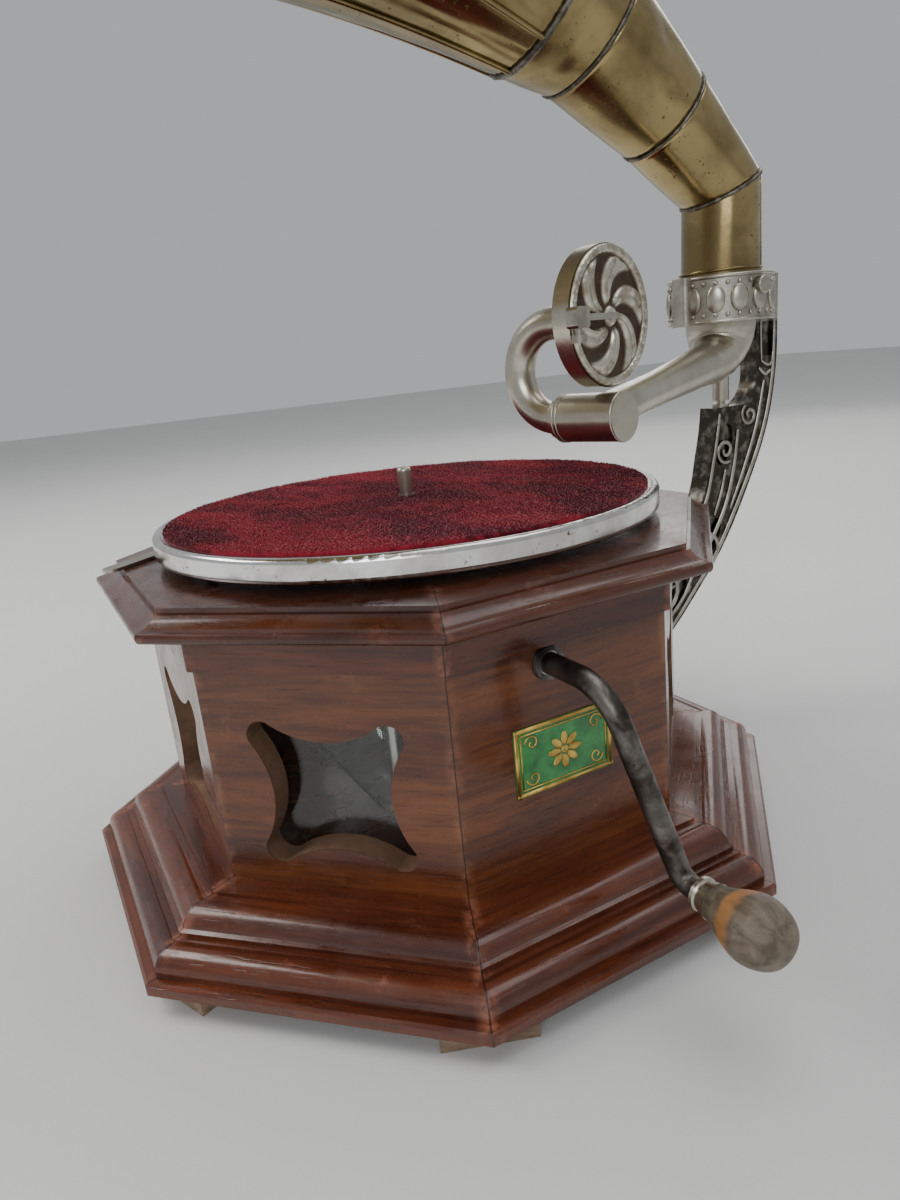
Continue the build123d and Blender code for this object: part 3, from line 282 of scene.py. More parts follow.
def makeMetal(name, bright, dull, speck, size=30.0, specks=0.5, smooth=0.2, rough=0.45, bump=0.15):
    made, tree, shader = newMaterial(name, Metallic=1.0)
    out = useGroup(tree, tarnish, Bright=bright, Dull=dull, Speck=speck, Cloud_Size=size,
                   Speck_Amount=specks, Smooth=smooth, Rough=rough)
    paint(tree, shader, out["Color"], out["Roughness"])
    bumped(tree, shader, out["Height"], bump, 0.0004)
    return made, tree, shader, out


caseWood = makeVarnished("varnishedCase", wear=0.35)
windowWood = makeVarnished("varnishedWindowBoards", wear=0.35, cutEdges=True)
mouldingWood = makeVarnished("varnishedMoulding", wear=0.9, shade=(0.78, 0.62, 0.72))
lidWood = makeVarnished("varnishedLid", wear=0.9, shade=(0.56, 0.46, 0.60))
bareTones = {"light": (0.36, 0.25, 0.16, 1), "dark": (0.13, 0.085, 0.055, 1), "worn": (0.46, 0.38, 0.29, 1)}
bareWood = makeVarnished("bareFeet", wear=0.3, mitre=0.0, tones=bareTones, coat=0.0)

chromePlate = makeMetal("pittedChrome", (0.80, 0.80, 0.80, 1), (0.62, 0.60, 0.57, 1),
                        (0.18, 0.08, 0.04, 1), 45.0, 0.9, 0.07, 0.26, 0.12)[0]
agedNickel = makeMetal("agedNickel", (0.56, 0.525, 0.44, 1), (0.42, 0.385, 0.31, 1),
                       (0.14, 0.10, 0.06, 1), 24.0, 0.35, 0.24, 0.36, 0.08)[0]
oldSilver, silverTree, silverShader, silverOut = makeMetal(
    "oldSilver", (0.50, 0.475, 0.41, 1), (0.33, 0.305, 0.255, 1), (0.05, 0.04, 0.03, 1),
    70.0, 0.5, 0.24, 0.42, 0.2)
silverPlace = place(silverTree)
silverSplit = axes(silverTree, silverPlace)
# black settles on the flat ground between the scrolls of the arm
ground = calc(silverTree, "ABSOLUTE", silverSplit[0])
ground = times(silverTree, ramp(silverTree, ground, 0.0071, 0.0066),
              ramp(silverTree, silverSplit[1], 0.138, 0.142))
ground = times(silverTree, ground, ramp(silverTree, silverSplit[2], 0.069, 0.067))
patchy = ramp(silverTree, cloud(silverTree, silverPlace, 160.0, 4.0), 0.3, 0.55, 0.55, 0.95)
ground = times(silverTree, ground, patchy)
paint(silverTree, silverShader,
      blendColours(silverTree, ground, silverOut["Color"], (0.035, 0.028, 0.02, 1)), silverOut["Roughness"])
hornBrass = makeMetal("agedHornBrass", (0.40, 0.31, 0.145, 1), (0.205, 0.155, 0.07, 1),
                      (0.06, 0.038, 0.016, 1), 16.0, 0.8, 0.12, 0.30, 0.2)[0]
leadSolder = makeMetal("leadSolder", (0.20, 0.185, 0.16, 1), (0.09, 0.08, 0.065, 1),
                       (0.03, 0.02, 0.02, 1), 200.0, 0.8, 0.35, 0.6, 0.5)[0]
brightBrass = makeMetal("gearBrass", (0.78, 0.60, 0.27, 1), (0.52, 0.37, 0.15, 1),
                        (0.1, 0.06, 0.02, 1), 60.0, 0.4, 0.2, 0.4, 0.15)[0]
oiledSteel = makeMetal("oiledSteel", (0.58, 0.58, 0.57, 1), (0.40, 0.39, 0.37, 1),
                       (0.12, 0.06, 0.03, 1), 35.0, 0.6, 0.22, 0.42, 0.15)[0]
darkIron = makeMetal("rubbedIron", (0.20, 0.185, 0.17, 1), (0.045, 0.036, 0.03, 1),
                     (0.10, 0.045, 0.025, 1), 60.0, 1.0, 0.32, 0.6, 0.45)[0]
thinAlloy = makeMetal("diaphragmAlloy", (0.55, 0.52, 0.46, 1), (0.35, 0.31, 0.26, 1),
                      (0.12, 0.08, 0.05, 1), 90.0, 0.6, 0.3, 0.5, 0.2)[0]


def makeRubber():
    made, tree, shader = newMaterial("oldRubber", Roughness=0.7)
    where = place(tree)
    shade = blendColours(tree, cloud(tree, where, 160.0), (0.02, 0.02, 0.02, 1), (0.06, 0.055, 0.05, 1))
    paint(tree, shader, shade, ramp(tree, cloud(tree, where, 90.0), 0.3, 0.7, 0.55, 0.85))
    bumped(tree, shader, cloud(tree, where, 600.0), 0.2, 0.0003)
    return made


def makeFelt():
    made, tree, shader = newMaterial("wornFelt", Roughness=0.9, Sheen_Weight=0.3)
    where = place(tree)
    fibres = cloud(tree, where, 900.0, 4.0, 0.8, 1.5)
    shade = blendColours(tree, fibres, (0.16, 0.14, 0.12, 1), (0.42, 0.38, 0.33, 1))
    paint(tree, shader, shade)
    bumped(tree, shader, fibres, 0.6, 0.0004)
    return made


def makeGlass():
    made, tree, shader = newMaterial("dustyGlass", Transmission_Weight=1.0, IOR=1.46, Roughness=0.03)
    where = place(tree)
    dust = ramp(tree, cloud(tree, where, 22.0, 6.0, 0.7), 0.5, 0.8)
    paint(tree, shader, blendColours(tree, dust, (0.95, 0.97, 0.96, 1), (0.84, 0.84, 0.81, 1)),
          ramp(tree, dust, 0.0, 1.0, 0.02, 0.10))
    return made


def makeGripWood():
    # worn handle: grey-brown ends and an orange band where the stain is left
    made, tree, shader = newMaterial("wornGrip", Roughness=0.5)
    where = place(tree)
    split = axes(tree, where)
    wobble = times(tree, minus(tree, cloud(tree, where, 110.0, 4.0, 0.7), 0.5), 0.009)
    x = plus(tree, split[0], wobble)
    fibres = cloud(tree, where, 40.0, 5.0, 0.65, 0.5, (1, 6, 6))
    dirt = cloud(tree, where, 95.0, 5.0, 0.65, 0.4)
    band = times(tree, ramp(tree, x, 0.2075, 0.2105), ramp(tree, x, 0.2170, 0.2140))
    band = times(tree, band, ramp(tree, dirt, 0.3, 0.5, 0.5, 1.0))
    orange = blendColours(tree, fibres, (0.20, 0.085, 0.03, 1), (0.50, 0.24, 0.09, 1))
    dark = blendColours(tree, ramp(tree, fibres, 0.35, 0.65),
                        (0.085, 0.062, 0.04, 1), (0.16, 0.125, 0.085, 1))
    dark = blendColours(tree, ramp(tree, dirt, 0.45, 0.7, 0.0, 0.7), dark, (0.24, 0.195, 0.15, 1))
    neck = ramp(tree, x, 0.2055, 0.2015)
    dark = blendColours(tree, times(tree, neck, 0.6), dark, (0.045, 0.034, 0.022, 1))
    paint(tree, shader, blendColours(tree, band, dark, orange), ramp(tree, fibres, 0.2, 0.8, 0.36, 0.6))
    bumped(tree, shader, fibres, 0.35, 0.0006)
    return made


def makeVelvet():
    made, tree, shader = newMaterial("crushedVelvet", Roughness=0.95, Sheen_Weight=0.45,
                                     Sheen_Roughness=0.35, Sheen_Tint=(1.0, 0.45, 0.48, 1),
                                     Specular_IOR_Level=0.12)
    where = place(tree)
    nap = cloud(tree, where, 9.0, 5.0, 0.6, 1.6, (0.6, 1.25, 1))
    tuft = cloud(tree, where, 60.0, 4.0, 0.6, 1.8)
    pile = cloud(tree, where, 1300.0, 3.0, 0.8)
    mixed = plus(tree, times(tree, nap, 0.65), times(tree, tuft, 0.35))
    base = blendColours(tree, ramp(tree, mixed, 0.43, 0.57), (0.075, 0.004, 0.012, 1), (0.34, 0.022, 0.04, 1))
    base = blendColours(tree, ramp(tree, pile, 0.35, 0.7, 0.0, 0.5), base, (0.045, 0.002, 0.008, 1))
    split = axes(tree, where)
    away = calc(tree, "SQRT", plus(tree, times(tree, split[0], split[0]),
                                   times(tree, split[1], split[1])))
    wornSpot = times(tree, ramp(tree, away, 0.042, 0.012), ramp(tree, tuft, 0.38, 0.6))
    base = blendColours(tree, times(tree, wornSpot, 0.75), base, (0.03, 0.003, 0.006, 1))
    paint(tree, shader, base)
    tall = plus(tree, times(tree, pile, 0.5), tuft)
    bumped(tree, shader, tall, 0.7, 0.0009)
    return made


def makeTransfer():
    # dark green field of the little plate on the crank's side
    made, tree, shader = newMaterial("greenTransfer", Roughness=0.3, Coat_Weight=0.4)
    where = place(tree)
    mottled = cloud(tree, where, 70.0, 5.0, 0.6, 0.4)
    green = blendColours(tree, ramp(tree, mottled, 0.35, 0.65),
                         (0.015, 0.13, 0.035, 1), (0.05, 0.28, 0.07, 1))
    chips = ramp(tree, cloud(tree, where, 260.0, 4.0, 0.7), 0.66, 0.7)
    paint(tree, shader, blendColours(tree, chips, green, (0.16, 0.06, 0.03, 1)),
          ramp(tree, mottled, 0.2, 0.8, 0.22, 0.45))
    bumped(tree, shader, chips, 0.2, 0.0002)
    return made


oldRubber, wornFelt, dustyGlass = makeRubber(), makeFelt(), makeGlass()
wornGrip, crushedVelvet, greenTransfer = makeGripWood(), makeVelvet(), makeTransfer()
goldLeaf = makeMetal("goldLeaf", (0.80, 0.56, 0.16, 1), (0.50, 0.32, 0.08, 1), (0.12, 0.06, 0.02, 1),
                     120.0, 0.7, 0.25, 0.45, 0.3)[0]

finishes = {
    caseWood: ("crank_panel", "bracket_panel"),
    windowWood: ("window_panels",),
    mouldingWood: ("base_board", "lower_moulding", "upper_moulding", "frieze"),
    lidWood: ("lid_moulding", "lid_board"),
    bareWood: ("feet",),
    dustyGlass: ("window_panes",),
    greenTransfer: ("decal_plate",),
    chromePlate: ("platter",),
    agedNickel: ("tonearm", "gooseneck", "soundbox_case", "brake_lever", "brake_pivot", "spindle",
                 "crank_ferrule", "arm_pivot"),
    oldSilver: ("horn_bracket", "ring_screw", "soundbox_front", "needle_holder", "needle_screw"),
    hornBrass: ("horn_neck", "horn_segments", "horn_petals"),
    brightBrass: ("crown_wheel", "intermediate_wheel", "worm_wheel", "governor_disc", "governor_weights"),
    oiledSteel: ("motor_plate_top", "motor_plate_bottom", "motor_pillars", "motor_bolts", "barrel_drum",
                 "barrel_lid", "mainspring", "winding_arbor", "ratchet_wheel", "ratchet_pawl",
                 "winding_shaft", "shaft_bracket", "intermediate_arbor", "governor_shaft",
                 "governor_springs", "governor_brackets", "regulator_lever", "bracket_screws"),
    darkIron: ("crank_rod", "shaft_bush"),
    thinAlloy: ("diaphragm",),
    wornGrip: ("crank_grip",),
    oldRubber: ("motor_grommets", "brake_shoe"),
    wornFelt: ("regulator_pad",),
    crushedVelvet: ("mat",),
}
for finish, names in finishes.items():
    for name in names:
        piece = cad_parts[name]
        piece.data.materials.clear()
        piece.data.materials.append(finish)
print("stage: finishes on", sum(len(names) for names in finishes.values()), "cad pieces")


# mesh helpers
def newPiece(name, mesh, body, material=None, smooth=True):
    made = bpy.data.objects.new(name, mesh)
    bpy.context.collection.objects.link(made)
    if material:
        mesh.materials.clear()
        mesh.materials.append(material)
    for face in mesh.polygons:
        face.use_smooth = smooth
    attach(made, body)
    return made


def meshOf(name, points, faces):
    mesh = bpy.data.meshes.new(name)
    mesh.from_pydata([tuple(p) for p in points], [], faces)
    mesh.validate()
    mesh.update()
    return mesh


def tidyNormals(mesh):
    work = bmesh.new()
    work.from_mesh(mesh)
    bmesh.ops.remove_doubles(work, verts=work.verts, dist=1e-7)
    bmesh.ops.recalc_face_normals(work, faces=work.faces)
    work.to_mesh(mesh)
    work.free()
    return mesh


def joinMeshes(name, meshes):
    work = bmesh.new()
    for mesh in meshes:
        work.from_mesh(mesh)
    whole = bpy.data.meshes.new(name)
    work.to_mesh(whole)
    work.free()
    return whole


def tubeAlong(path, radii, around=12, closed=False, flat=1.0, flatDirection=None):
    points, faces = [], []
    count = len(path)
    normal = None
    for i, at in enumerate(path):
        ahead = path[(i + 1) % count] if closed or i < count - 1 else at
        behind = path[i - 1] if closed or i > 0 else at
        heading = (ahead - behind).normalized()
        if flatDirection is not None:
            normal = (flatDirection - heading * flatDirection.dot(heading)).normalized()
        elif normal is None:
            normal = heading.orthogonal().normalized()
        else:
            normal = (normal - heading * normal.dot(heading)).normalized()
        across = heading.cross(normal)
        radius = radii[i] if hasattr(radii, "__len__") else radii
        for k in range(around):
            turn = 2 * pi * k / around
            points.append(at + normal * (radius * flat * cos(turn)) + across * (radius * sin(turn)))
    rings = count if closed else count - 1
    for i in range(rings):
        low, high = i * around, ((i + 1) % count) * around
        for k in range(around):
            n = (k + 1) % around
            faces.append((low + k, low + n, high + n, high + k))
    if not closed:
        faces.append(tuple(range(around - 1, -1, -1)))
        faces.append(tuple(range((count - 1) * around, count * around)))
    return tidyNormals(meshOf("tube", points, faces))


def circle(count):
    return [Vector((cos(2 * pi * k / count), sin(2 * pi * k / count), 0)) for k in range(count)]


# geometry node trees
def startTree(name, inputs):
    tree = bpy.data.node_groups.new(name, "GeometryNodeTree")
    tree.interface.new_socket("Geometry", in_out="OUTPUT", socket_type="NodeSocketGeometry")
    for label, kind, value in inputs:
        made = tree.interface.new_socket(label, in_out="INPUT", socket_type=kind)
        if value is not None:
            made.default_value = value
    return tree, tree.nodes.new("NodeGroupInput").outputs


def endTree(tree, geometry, material):
    whole = node(tree, "GeometryNodeRealizeInstances", {0: geometry}).outputs[0]
    painted = node(tree, "GeometryNodeSetMaterial", {"Geometry": whole, "Material": material}).outputs[0]
    feed(tree, tree.nodes.new("NodeGroupOutput").inputs[0], painted)


def growPiece(name, tree, values, body, thickness=0.0, placeBy=None):
    holder = bpy.data.objects.new(name + "Maker", bpy.data.meshes.new(name + "Seed"))
    bpy.context.collection.objects.link(holder)
    grower = holder.modifiers.new("grower", "NODES")
    grower.node_group = tree
    for item in tree.interface.items_tree:
        if item.item_type == "SOCKET" and item.in_out == "INPUT" and item.name in values:
            grower[item.identifier] = values[item.name]
    if thickness:
        wall = holder.modifiers.new("wall", "SOLIDIFY")
        wall.thickness = thickness
        wall.offset = -1.0
    bpy.context.view_layer.update()
    grown = bpy.data.meshes.new_from_object(holder.evaluated_get(bpy.context.evaluated_depsgraph_get()))
    holder.modifiers.clear()
    bpy.data.objects.remove(holder)
    grown.name = name
    if placeBy is not None:
        grown.transform(placeBy)
    print("stage:", name, len(grown.polygons), "faces")
    return newPiece(name, grown, body)


def spinCopies(tree, geometry, count, turnOffset=0.0):
    spots = node(tree, "GeometryNodePoints", {"Count": count}).outputs[0]
    index = tree.nodes.new("GeometryNodeInputIndex").outputs[0]
    turn = plus(tree, times(tree, index, over(tree, 2 * pi, count)), turnOffset)
    lean = node(tree, "ShaderNodeCombineXYZ", {2: turn}).outputs[0]
    rotation = node(tree, "FunctionNodeEulerToRotation", {0: lean}).outputs[0]
    return node(tree, "GeometryNodeInstanceOnPoints", {"Points": spots, "Instance": geometry,
                                                       "Rotation": rotation}).outputs[0]


# the flower horn
bell = {"petals": 10, "length": 320 * mm, "throat": 40.5 * mm, "growth": 4.8, "flare": 34 * mm,
        "bulge": 0.036, "tipDrop": 8 * mm, "wall": 0.7 * mm, "seamWire": 1.5 * mm, "rimWire": 1.6 * mm}
bellInputs = (("Petals", "NodeSocketInt", 10), ("Length", number, 0.32), ("Throat", number, 0.0405),
              ("Growth", number, 4.8), ("Flare", number, 0.034), ("Bulge", number, 0.036),
              ("Tip Drop", number, 0.008), ("Wire", number, 0.0015),
              ("Material", "NodeSocketMaterial", None))


def bellPoint(tree, taken, across, down, lift=0.0):
    # across runs -1..1 over one petal, down runs 0..1 from the throat to the petal's tip
    reach = minus(tree, taken["Length"],
                 times(tree, taken["Tip Drop"], times(tree, across, across)))
    out = times(tree, reach, down)
    share = over(tree, out, taken["Length"])
    seam = plus(tree, times(tree, taken["Throat"],
                     calc(tree, "EXPONENT", times(tree, taken["Growth"], out))),
                times(tree, taken["Flare"], calc(tree, "POWER", share, 8.0)))
    crown = minus(tree, 1.0, times(tree, across, across))
    radius = times(tree, seam, plus(tree, 1.0, times(tree, times(tree, taken["Bulge"], share), crown)))
    radius = plus(tree, radius, lift)
    turn = over(tree, times(tree, across, pi), taken["Petals"])
    return node(tree, "ShaderNodeCombineXYZ", {
        0: times(tree, radius, calc(tree, "COSINE", turn)),
        1: times(tree, radius, calc(tree, "SINE", turn)), 2: out}).outputs[0]


def petalTree():
    tree, taken = startTree("bellPetals", bellInputs)
    sheet = node(tree, "GeometryNodeMeshGrid", {"Size X": 1.0, "Size Y": 1.0, "Vertices X": 21,
                                                "Vertices Y": 91}).outputs[0]
    at = axes(tree, tree.nodes.new("GeometryNodeInputPosition").outputs[0])
    across = times(tree, at[0], 1.996)
    down = plus(tree, at[1], 0.5)
    # a soft crease down the middle and shallow hand-hammered hollows
    crease = times(tree, calc(tree, "EXPONENT", times(tree, times(tree, across, across), -60.0)),
        times(tree, calc(tree, "POWER", down, 2.0), 0.0016))
    gridPlace = tree.nodes.new("GeometryNodeInputPosition").outputs[0]
    beaten = node(tree, "ShaderNodeTexNoise", {"Vector": gridPlace, "Scale": 6.0, "Detail": 2.0}).outputs[0]
    beaten = times(tree, minus(tree, beaten, 0.5), 0.0022)
    beaten = times(tree, beaten, minus(tree, 1.0, calc(
        tree, "POWER", calc(tree, "ABSOLUTE", across), 3.0)))
    spot = bellPoint(tree, taken, across, down, plus(tree, crease, beaten))
    petal = node(tree, "GeometryNodeSetPosition", {"Geometry": sheet, "Position": spot}).outputs[0]
    endTree(tree, spinCopies(tree, petal, taken["Petals"]), taken["Material"])
    return tree


def wireTree(name, alongRim, count):
    # a wire down one seam, or round the tip of one petal, then copied round the bell
    tree, taken = startTree(name, bellInputs)
    line = node(tree, "GeometryNodeMeshLine", {"Count": count, "Offset": (0, 0, 0)}, mode="OFFSET").outputs[0]
    index = tree.nodes.new("GeometryNodeInputIndex").outputs[0]
    share = over(tree, index, float(count - 1))
    if alongRim:
        spot = bellPoint(tree, taken, calc(tree, "MULTIPLY_ADD", share, 2.0, -1.0), 0.999)
    else:
        spot = bellPoint(tree, taken, 1.0, calc(tree, "MULTIPLY_ADD", share, 0.992, 0.004), 0.0006)
    bent = node(tree, "GeometryNodeSetPosition", {"Geometry": line, "Position": spot}).outputs[0]
    curve = node(tree, "GeometryNodeMeshToCurve", {0: bent}).outputs[0]
    ring = node(tree, "GeometryNodeCurvePrimitiveCircle",
                {"Resolution": 10, "Radius": taken["Wire"]}).outputs[0]
    wire = node(tree, "GeometryNodeCurveToMesh", {"Curve": curve, "Profile Curve": ring,
                                                  "Fill Caps": True}).outputs[0]
    endTree(tree, spinCopies(tree, wire, taken["Petals"]), taken["Material"])
    return tree


def leaning(y, z, tilt):
    lean = radians(tilt)
    out = Vector((0, -cos(lean), sin(lean)))
    right = Vector((1, 0, 0))
    up = out.cross(right)
    turned = Matrix((right, up, out)).transposed().to_4x4()
    return Matrix.Translation((0, y, z)) @ turned


bellPlace = leaning(102 * mm, 233 * mm, 28)
bellValues = {"Petals": bell["petals"], "Length": bell["length"], "Throat": bell["throat"],
              "Growth": bell["growth"], "Flare": bell["flare"], "Bulge": bell["bulge"],
              "Tip Drop": bell["tipDrop"], "Material": hornBrass}
petals = growPiece("horn_bell_petals", petalTree(), bellValues, "horn", bell["wall"], bellPlace)
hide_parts("horn_petals")
growPiece("horn_bell_seams", wireTree("bellSeams", False, 90), bellValues | {"Wire": bell["seamWire"]},
          "horn", placeBy=bellPlace)
growPiece("horn_bell_rim", wireTree("bellRim", True, 25), bellValues | {"Wire": bell["rimWire"]},
          "horn", placeBy=bellPlace)

elbow = {"seams": ((postY, 144, 23.3, 64), (181, 181, 27, 38), (131, 217, 33.5, 33), (102, 233, 40.5, 28)),
         "neckFoot": (postY, 81.6, 23.3, 90), "wall": 0.7, "around": 96, "rings": 14}
# dents: segment, share along it, angle round it, half width of the dent, depth in mm
dents = ((1, 0.52, 20, 12, 2.1), (1, 0.30, -14, 8, 1.1), (0, 0.55, 55, 9, 0.9), (2, 0.5, -60, 10, 0.9),
         (1, 0.75, 100, 11, 0.8), (0, 0.35, 175, 9, 0.8), (2, 0.55, 150, 12, 0.9))


def seamRing(seam, share=None, other=None):
    y, z, radius, tilt = seam
    if other is not None:
        y, z, radius, tilt = (a + (b - a) * share for a, b in zip(seam, other))
    return leaning(y * mm, z * mm, tilt), radius * mm


def elbowSegment(index, lower, upper):
    points, faces = [], []
    low, lowRadius = seamRing(lower)
    high, highRadius = seamRing(upper)
    around, rings = elbow["around"], elbow["rings"]
    chord = (high.translation - low.translation).length
    for wall in (0.0, elbow["wall"] * mm):
        for i in range(rings + 1):
            share = i / rings
            for k in range(around):
                turn = 2 * pi * k / around
                flat = Vector((cos(turn), sin(turn), 0))
                foot = low @ (flat * (lowRadius - wall))
                head = high @ (flat * (highRadius - wall))
                at = foot.lerp(head, share)
                centre = low.translation.lerp(high.translation, share)
                outward = (at - centre).normalized()
                sink = -0.5 * mm * sin(pi * share) ** 0.7  # each length is slightly barrelled
                for which, where, angle, half, depth in dents:
                    if which == index:
                        radius = lowRadius + (highRadius - lowRadius) * share
                        sideways = ((turn - radians(angle) + pi) % (2 * pi) - pi) * radius
                        lengthways = (share - where) * chord
                        sink += depth * mm * exp(-(sideways ** 2 + lengthways ** 2) / (half * mm * 0.7) ** 2)
                sink += 0.25 * mm * fractal.noise(at * 60.0) * sin(pi * share)
                points.append(at - outward * sink)
    inner = (rings + 1) * around
    for i in range(rings):
        for k in range(around):
            n = (k + 1) % around
            a, b, c, d = i * around + k, i * around + n, (i + 1) * around + n, (i + 1) * around + k
            faces.append((a, b, c, d))
            faces.append((a + inner, d + inner, c + inner, b + inner))
    top = rings * around
    for k in range(around):
        n = (k + 1) % around
        faces.append((k, k + inner, n + inner, n))
        faces.append((top + k, top + n, top + n + inner, top + k + inner))
    return meshOf("segment", points, faces)


segments = [elbowSegment(i, a, b) for i, (a, b) in enumerate(zip(elbow["seams"], elbow["seams"][1:]))]
pipe = newPiece("horn_elbow_segments", joinMeshes("horn_elbow_segments", segments), "horn",
                hornBrass)
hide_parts("horn_segments")
print("stage: horn elbow")

solder = {"bead": 1.15, "rough": 0.45, "around": 160}
solderRings = []
for count, (seam, swell) in enumerate(zip(elbow["seams"], (1.0, 0.8, 0.9, 1.5))):
    ring, radius = seamRing(seam)
    path = [ring @ (flat * (radius + 0.1 * mm)) for flat in circle(solder["around"])]
    thick = [(solder["bead"] * swell
              + solder["rough"] * fractal.noise(at * 260.0 + Vector((count, 0, 0)))) * mm for at in path]
    solderRings.append(tubeAlong(path, thick, 10, closed=True))
newPiece("horn_solder", joinMeshes("horn_solder", solderRings), "horn", leadSolder)

# folded seams along the tube, with a flat lap at the foot of the neck
laps = []
stations = (elbow["neckFoot"],) + elbow["seams"]
for lower, upper, angle in zip(stations, stations[1:], (38, 62, 62, 62)):
    low, lowRadius = seamRing(lower)
    high, highRadius = seamRing(upper)
    flat = Vector((cos(radians(angle)), sin(radians(angle)), 0))
    path = []
    for i in range(13):
        share = 0.02 + 0.96 * i / 12
        foot, head = low @ (flat * lowRadius), high @ (flat * highRadius)
        centre = low.translation.lerp(high.translation, share)
        at = foot.lerp(head, share)
        bulged = 0.5 * mm * sin(pi * share) ** 0.7 if lower is not elbow["neckFoot"] else 0
        path.append(at + (at - centre).normalized() * bulged)
    outward = (path[6] - low.translation.lerp(high.translation, 0.5)).normalized()
    laps.append(tubeAlong(path, 2.6 * mm, 10, flat=0.22, flatDirection=outward))
newPiece("horn_lap_seams", joinMeshes("horn_lap_seams", laps), "horn", hornBrass)

neckBead = {"height": 98.6, "ring": 23.5, "thick": 0.9}
path = [(Vector((0, postY, neckBead["height"])) + flat * neckBead["ring"]) * mm for flat in circle(120)]
newPiece("horn_neck_bead", tubeAlong(path, neckBead["thick"] * mm, 8, closed=True), "horn",
         hornBrass)


# the velvet mat, a laid sheet with its pile
velvet = {"radius": 121.6, "hole": 4.3, "under": -2.5, "top": -1.0, "pile": 1.15, "tufts": 620000.0,
          "seed": 7, "blade": 0.42}


def velvetBacking():
    around, rings = 180, 46
    points, faces = [], []
    profile = [(velvet["hole"], velvet["under"]), (velvet["hole"], velvet["top"] - 0.3)]
    profile += [(velvet["hole"] + 0.5 + (velvet["radius"] - velvet["hole"] - 1.2) * i / rings, velvet["top"])
                for i in range(rings + 1)]
    profile += [(velvet["radius"], velvet["top"] - 0.6), (velvet["radius"], velvet["under"])]
    for radius, z in profile:
        for k in range(around):
            turn = 2 * pi * k / around
            wave = 0.35 * fractal.noise(Vector((radius * cos(turn), radius * sin(turn), 0)) * 0.05) \
                if z == velvet["top"] else 0
            points.append((radius * cos(turn) * mm, radius * sin(turn) * mm, (z + wave) * mm))
    count = len(profile)
    for i in range(count):
        low, high = i * around, ((i + 1) % count) * around
        for k in range(around):
            n = (k + 1) % around
            faces.append((low + k, low + n, high + n, high + k))
    return tidyNormals(meshOf("velvet_mat", points, faces))


def pileTree():
    tree, taken = startTree("velvetPile", (
        ("Density", number, 1.0), ("Height", number, 0.001), ("Width", number, 0.0004),
        ("Seed", "NodeSocketInt", 7), ("Backing", "NodeSocketObject", None),
        ("Material", "NodeSocketMaterial", None)))
    ground = node(tree, "GeometryNodeObjectInfo", {"Object": taken["Backing"]}).outputs["Geometry"]
    spots = node(tree, "GeometryNodeDistributePointsOnFaces", {
        "Mesh": ground, "Density": taken["Density"], "Seed": taken["Seed"]})
    at = tree.nodes.new("GeometryNodeInputPosition").outputs[0]
    height = axes(tree, at)[2]
    low = calc(tree, "LESS_THAN", height, (velvet["top"] - 0.5) * mm)
    kept = node(tree, "GeometryNodeDeleteGeometry", {"Geometry": spots.outputs["Points"],
                                                     "Selection": low}, domain="POINT").outputs[0]
    blade = node(tree, "GeometryNodeMeshCone", {
        "Vertices": 3, "Radius Top": 0.0, "Radius Bottom": taken["Width"],
        "Depth": taken["Height"]}).outputs["Mesh"]
    nap = node(tree, "ShaderNodeTexNoise", {"Vector": at, "Scale": 16.0, "Detail": 3.0, "Distortion": 1.2})
    lean = node(tree, "ShaderNodeVectorMath", {0: nap.outputs["Color"], 1: (0.5, 0.5, 0.5)},
                operation="SUBTRACT").outputs[0]
    jitter = node(tree, "FunctionNodeRandomValue", {
        "Min": (-0.35, -0.35, 0.0), "Max": (0.35, 0.35, 6.28), "Seed": taken["Seed"]},
        data_type="FLOAT_VECTOR").outputs[0]
    lean = node(tree, "ShaderNodeVectorMath", {0: lean, 1: (5.5, 5.5, 0.0), 2: jitter},
                operation="MULTIPLY_ADD").outputs[0]
    rotation = node(tree, "FunctionNodeEulerToRotation", {0: lean}).outputs[0]
    tufts = node(tree, "GeometryNodeInstanceOnPoints", {"Points": kept, "Instance": blade,
                                                        "Rotation": rotation}).outputs[0]
    endTree(tree, tufts, taken["Material"])
    return tree


backing = newPiece("velvet_mat", velvetBacking(), "turntable", crushedVelvet)
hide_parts("mat")
pile = growPiece("velvet_pile", pileTree(), {
    "Density": velvet["tufts"], "Height": velvet["pile"] * mm, "Width": velvet["blade"] * mm,
    "Seed": velvet["seed"], "Backing": backing, "Material": crushedVelvet}, "turntable")


# sound box cover: a wheel of curved leaves in relief
cover = {"radius": 28.45, "leaves": 6, "sweep": 1.25, "base": 10.0, "relief": 1.7}
cross = radians(17)
alongCross = Vector((cos(cross), sin(cross), 0))
armSwing = radians(28)
armReach = 198
crossTube = Vector((armReach * sin(armSwing), postY - armReach * cos(armSwing), 34)) * mm
boxCentre = crossTube + Vector((0, 0, 41 * mm))
boxForward = Vector((sin(cross), -cos(cross), 0))
boxPlace = Matrix.Translation(boxCentre) @ Matrix(
    (boxForward, alongCross.cross(boxForward), alongCross)).transposed().to_4x4()


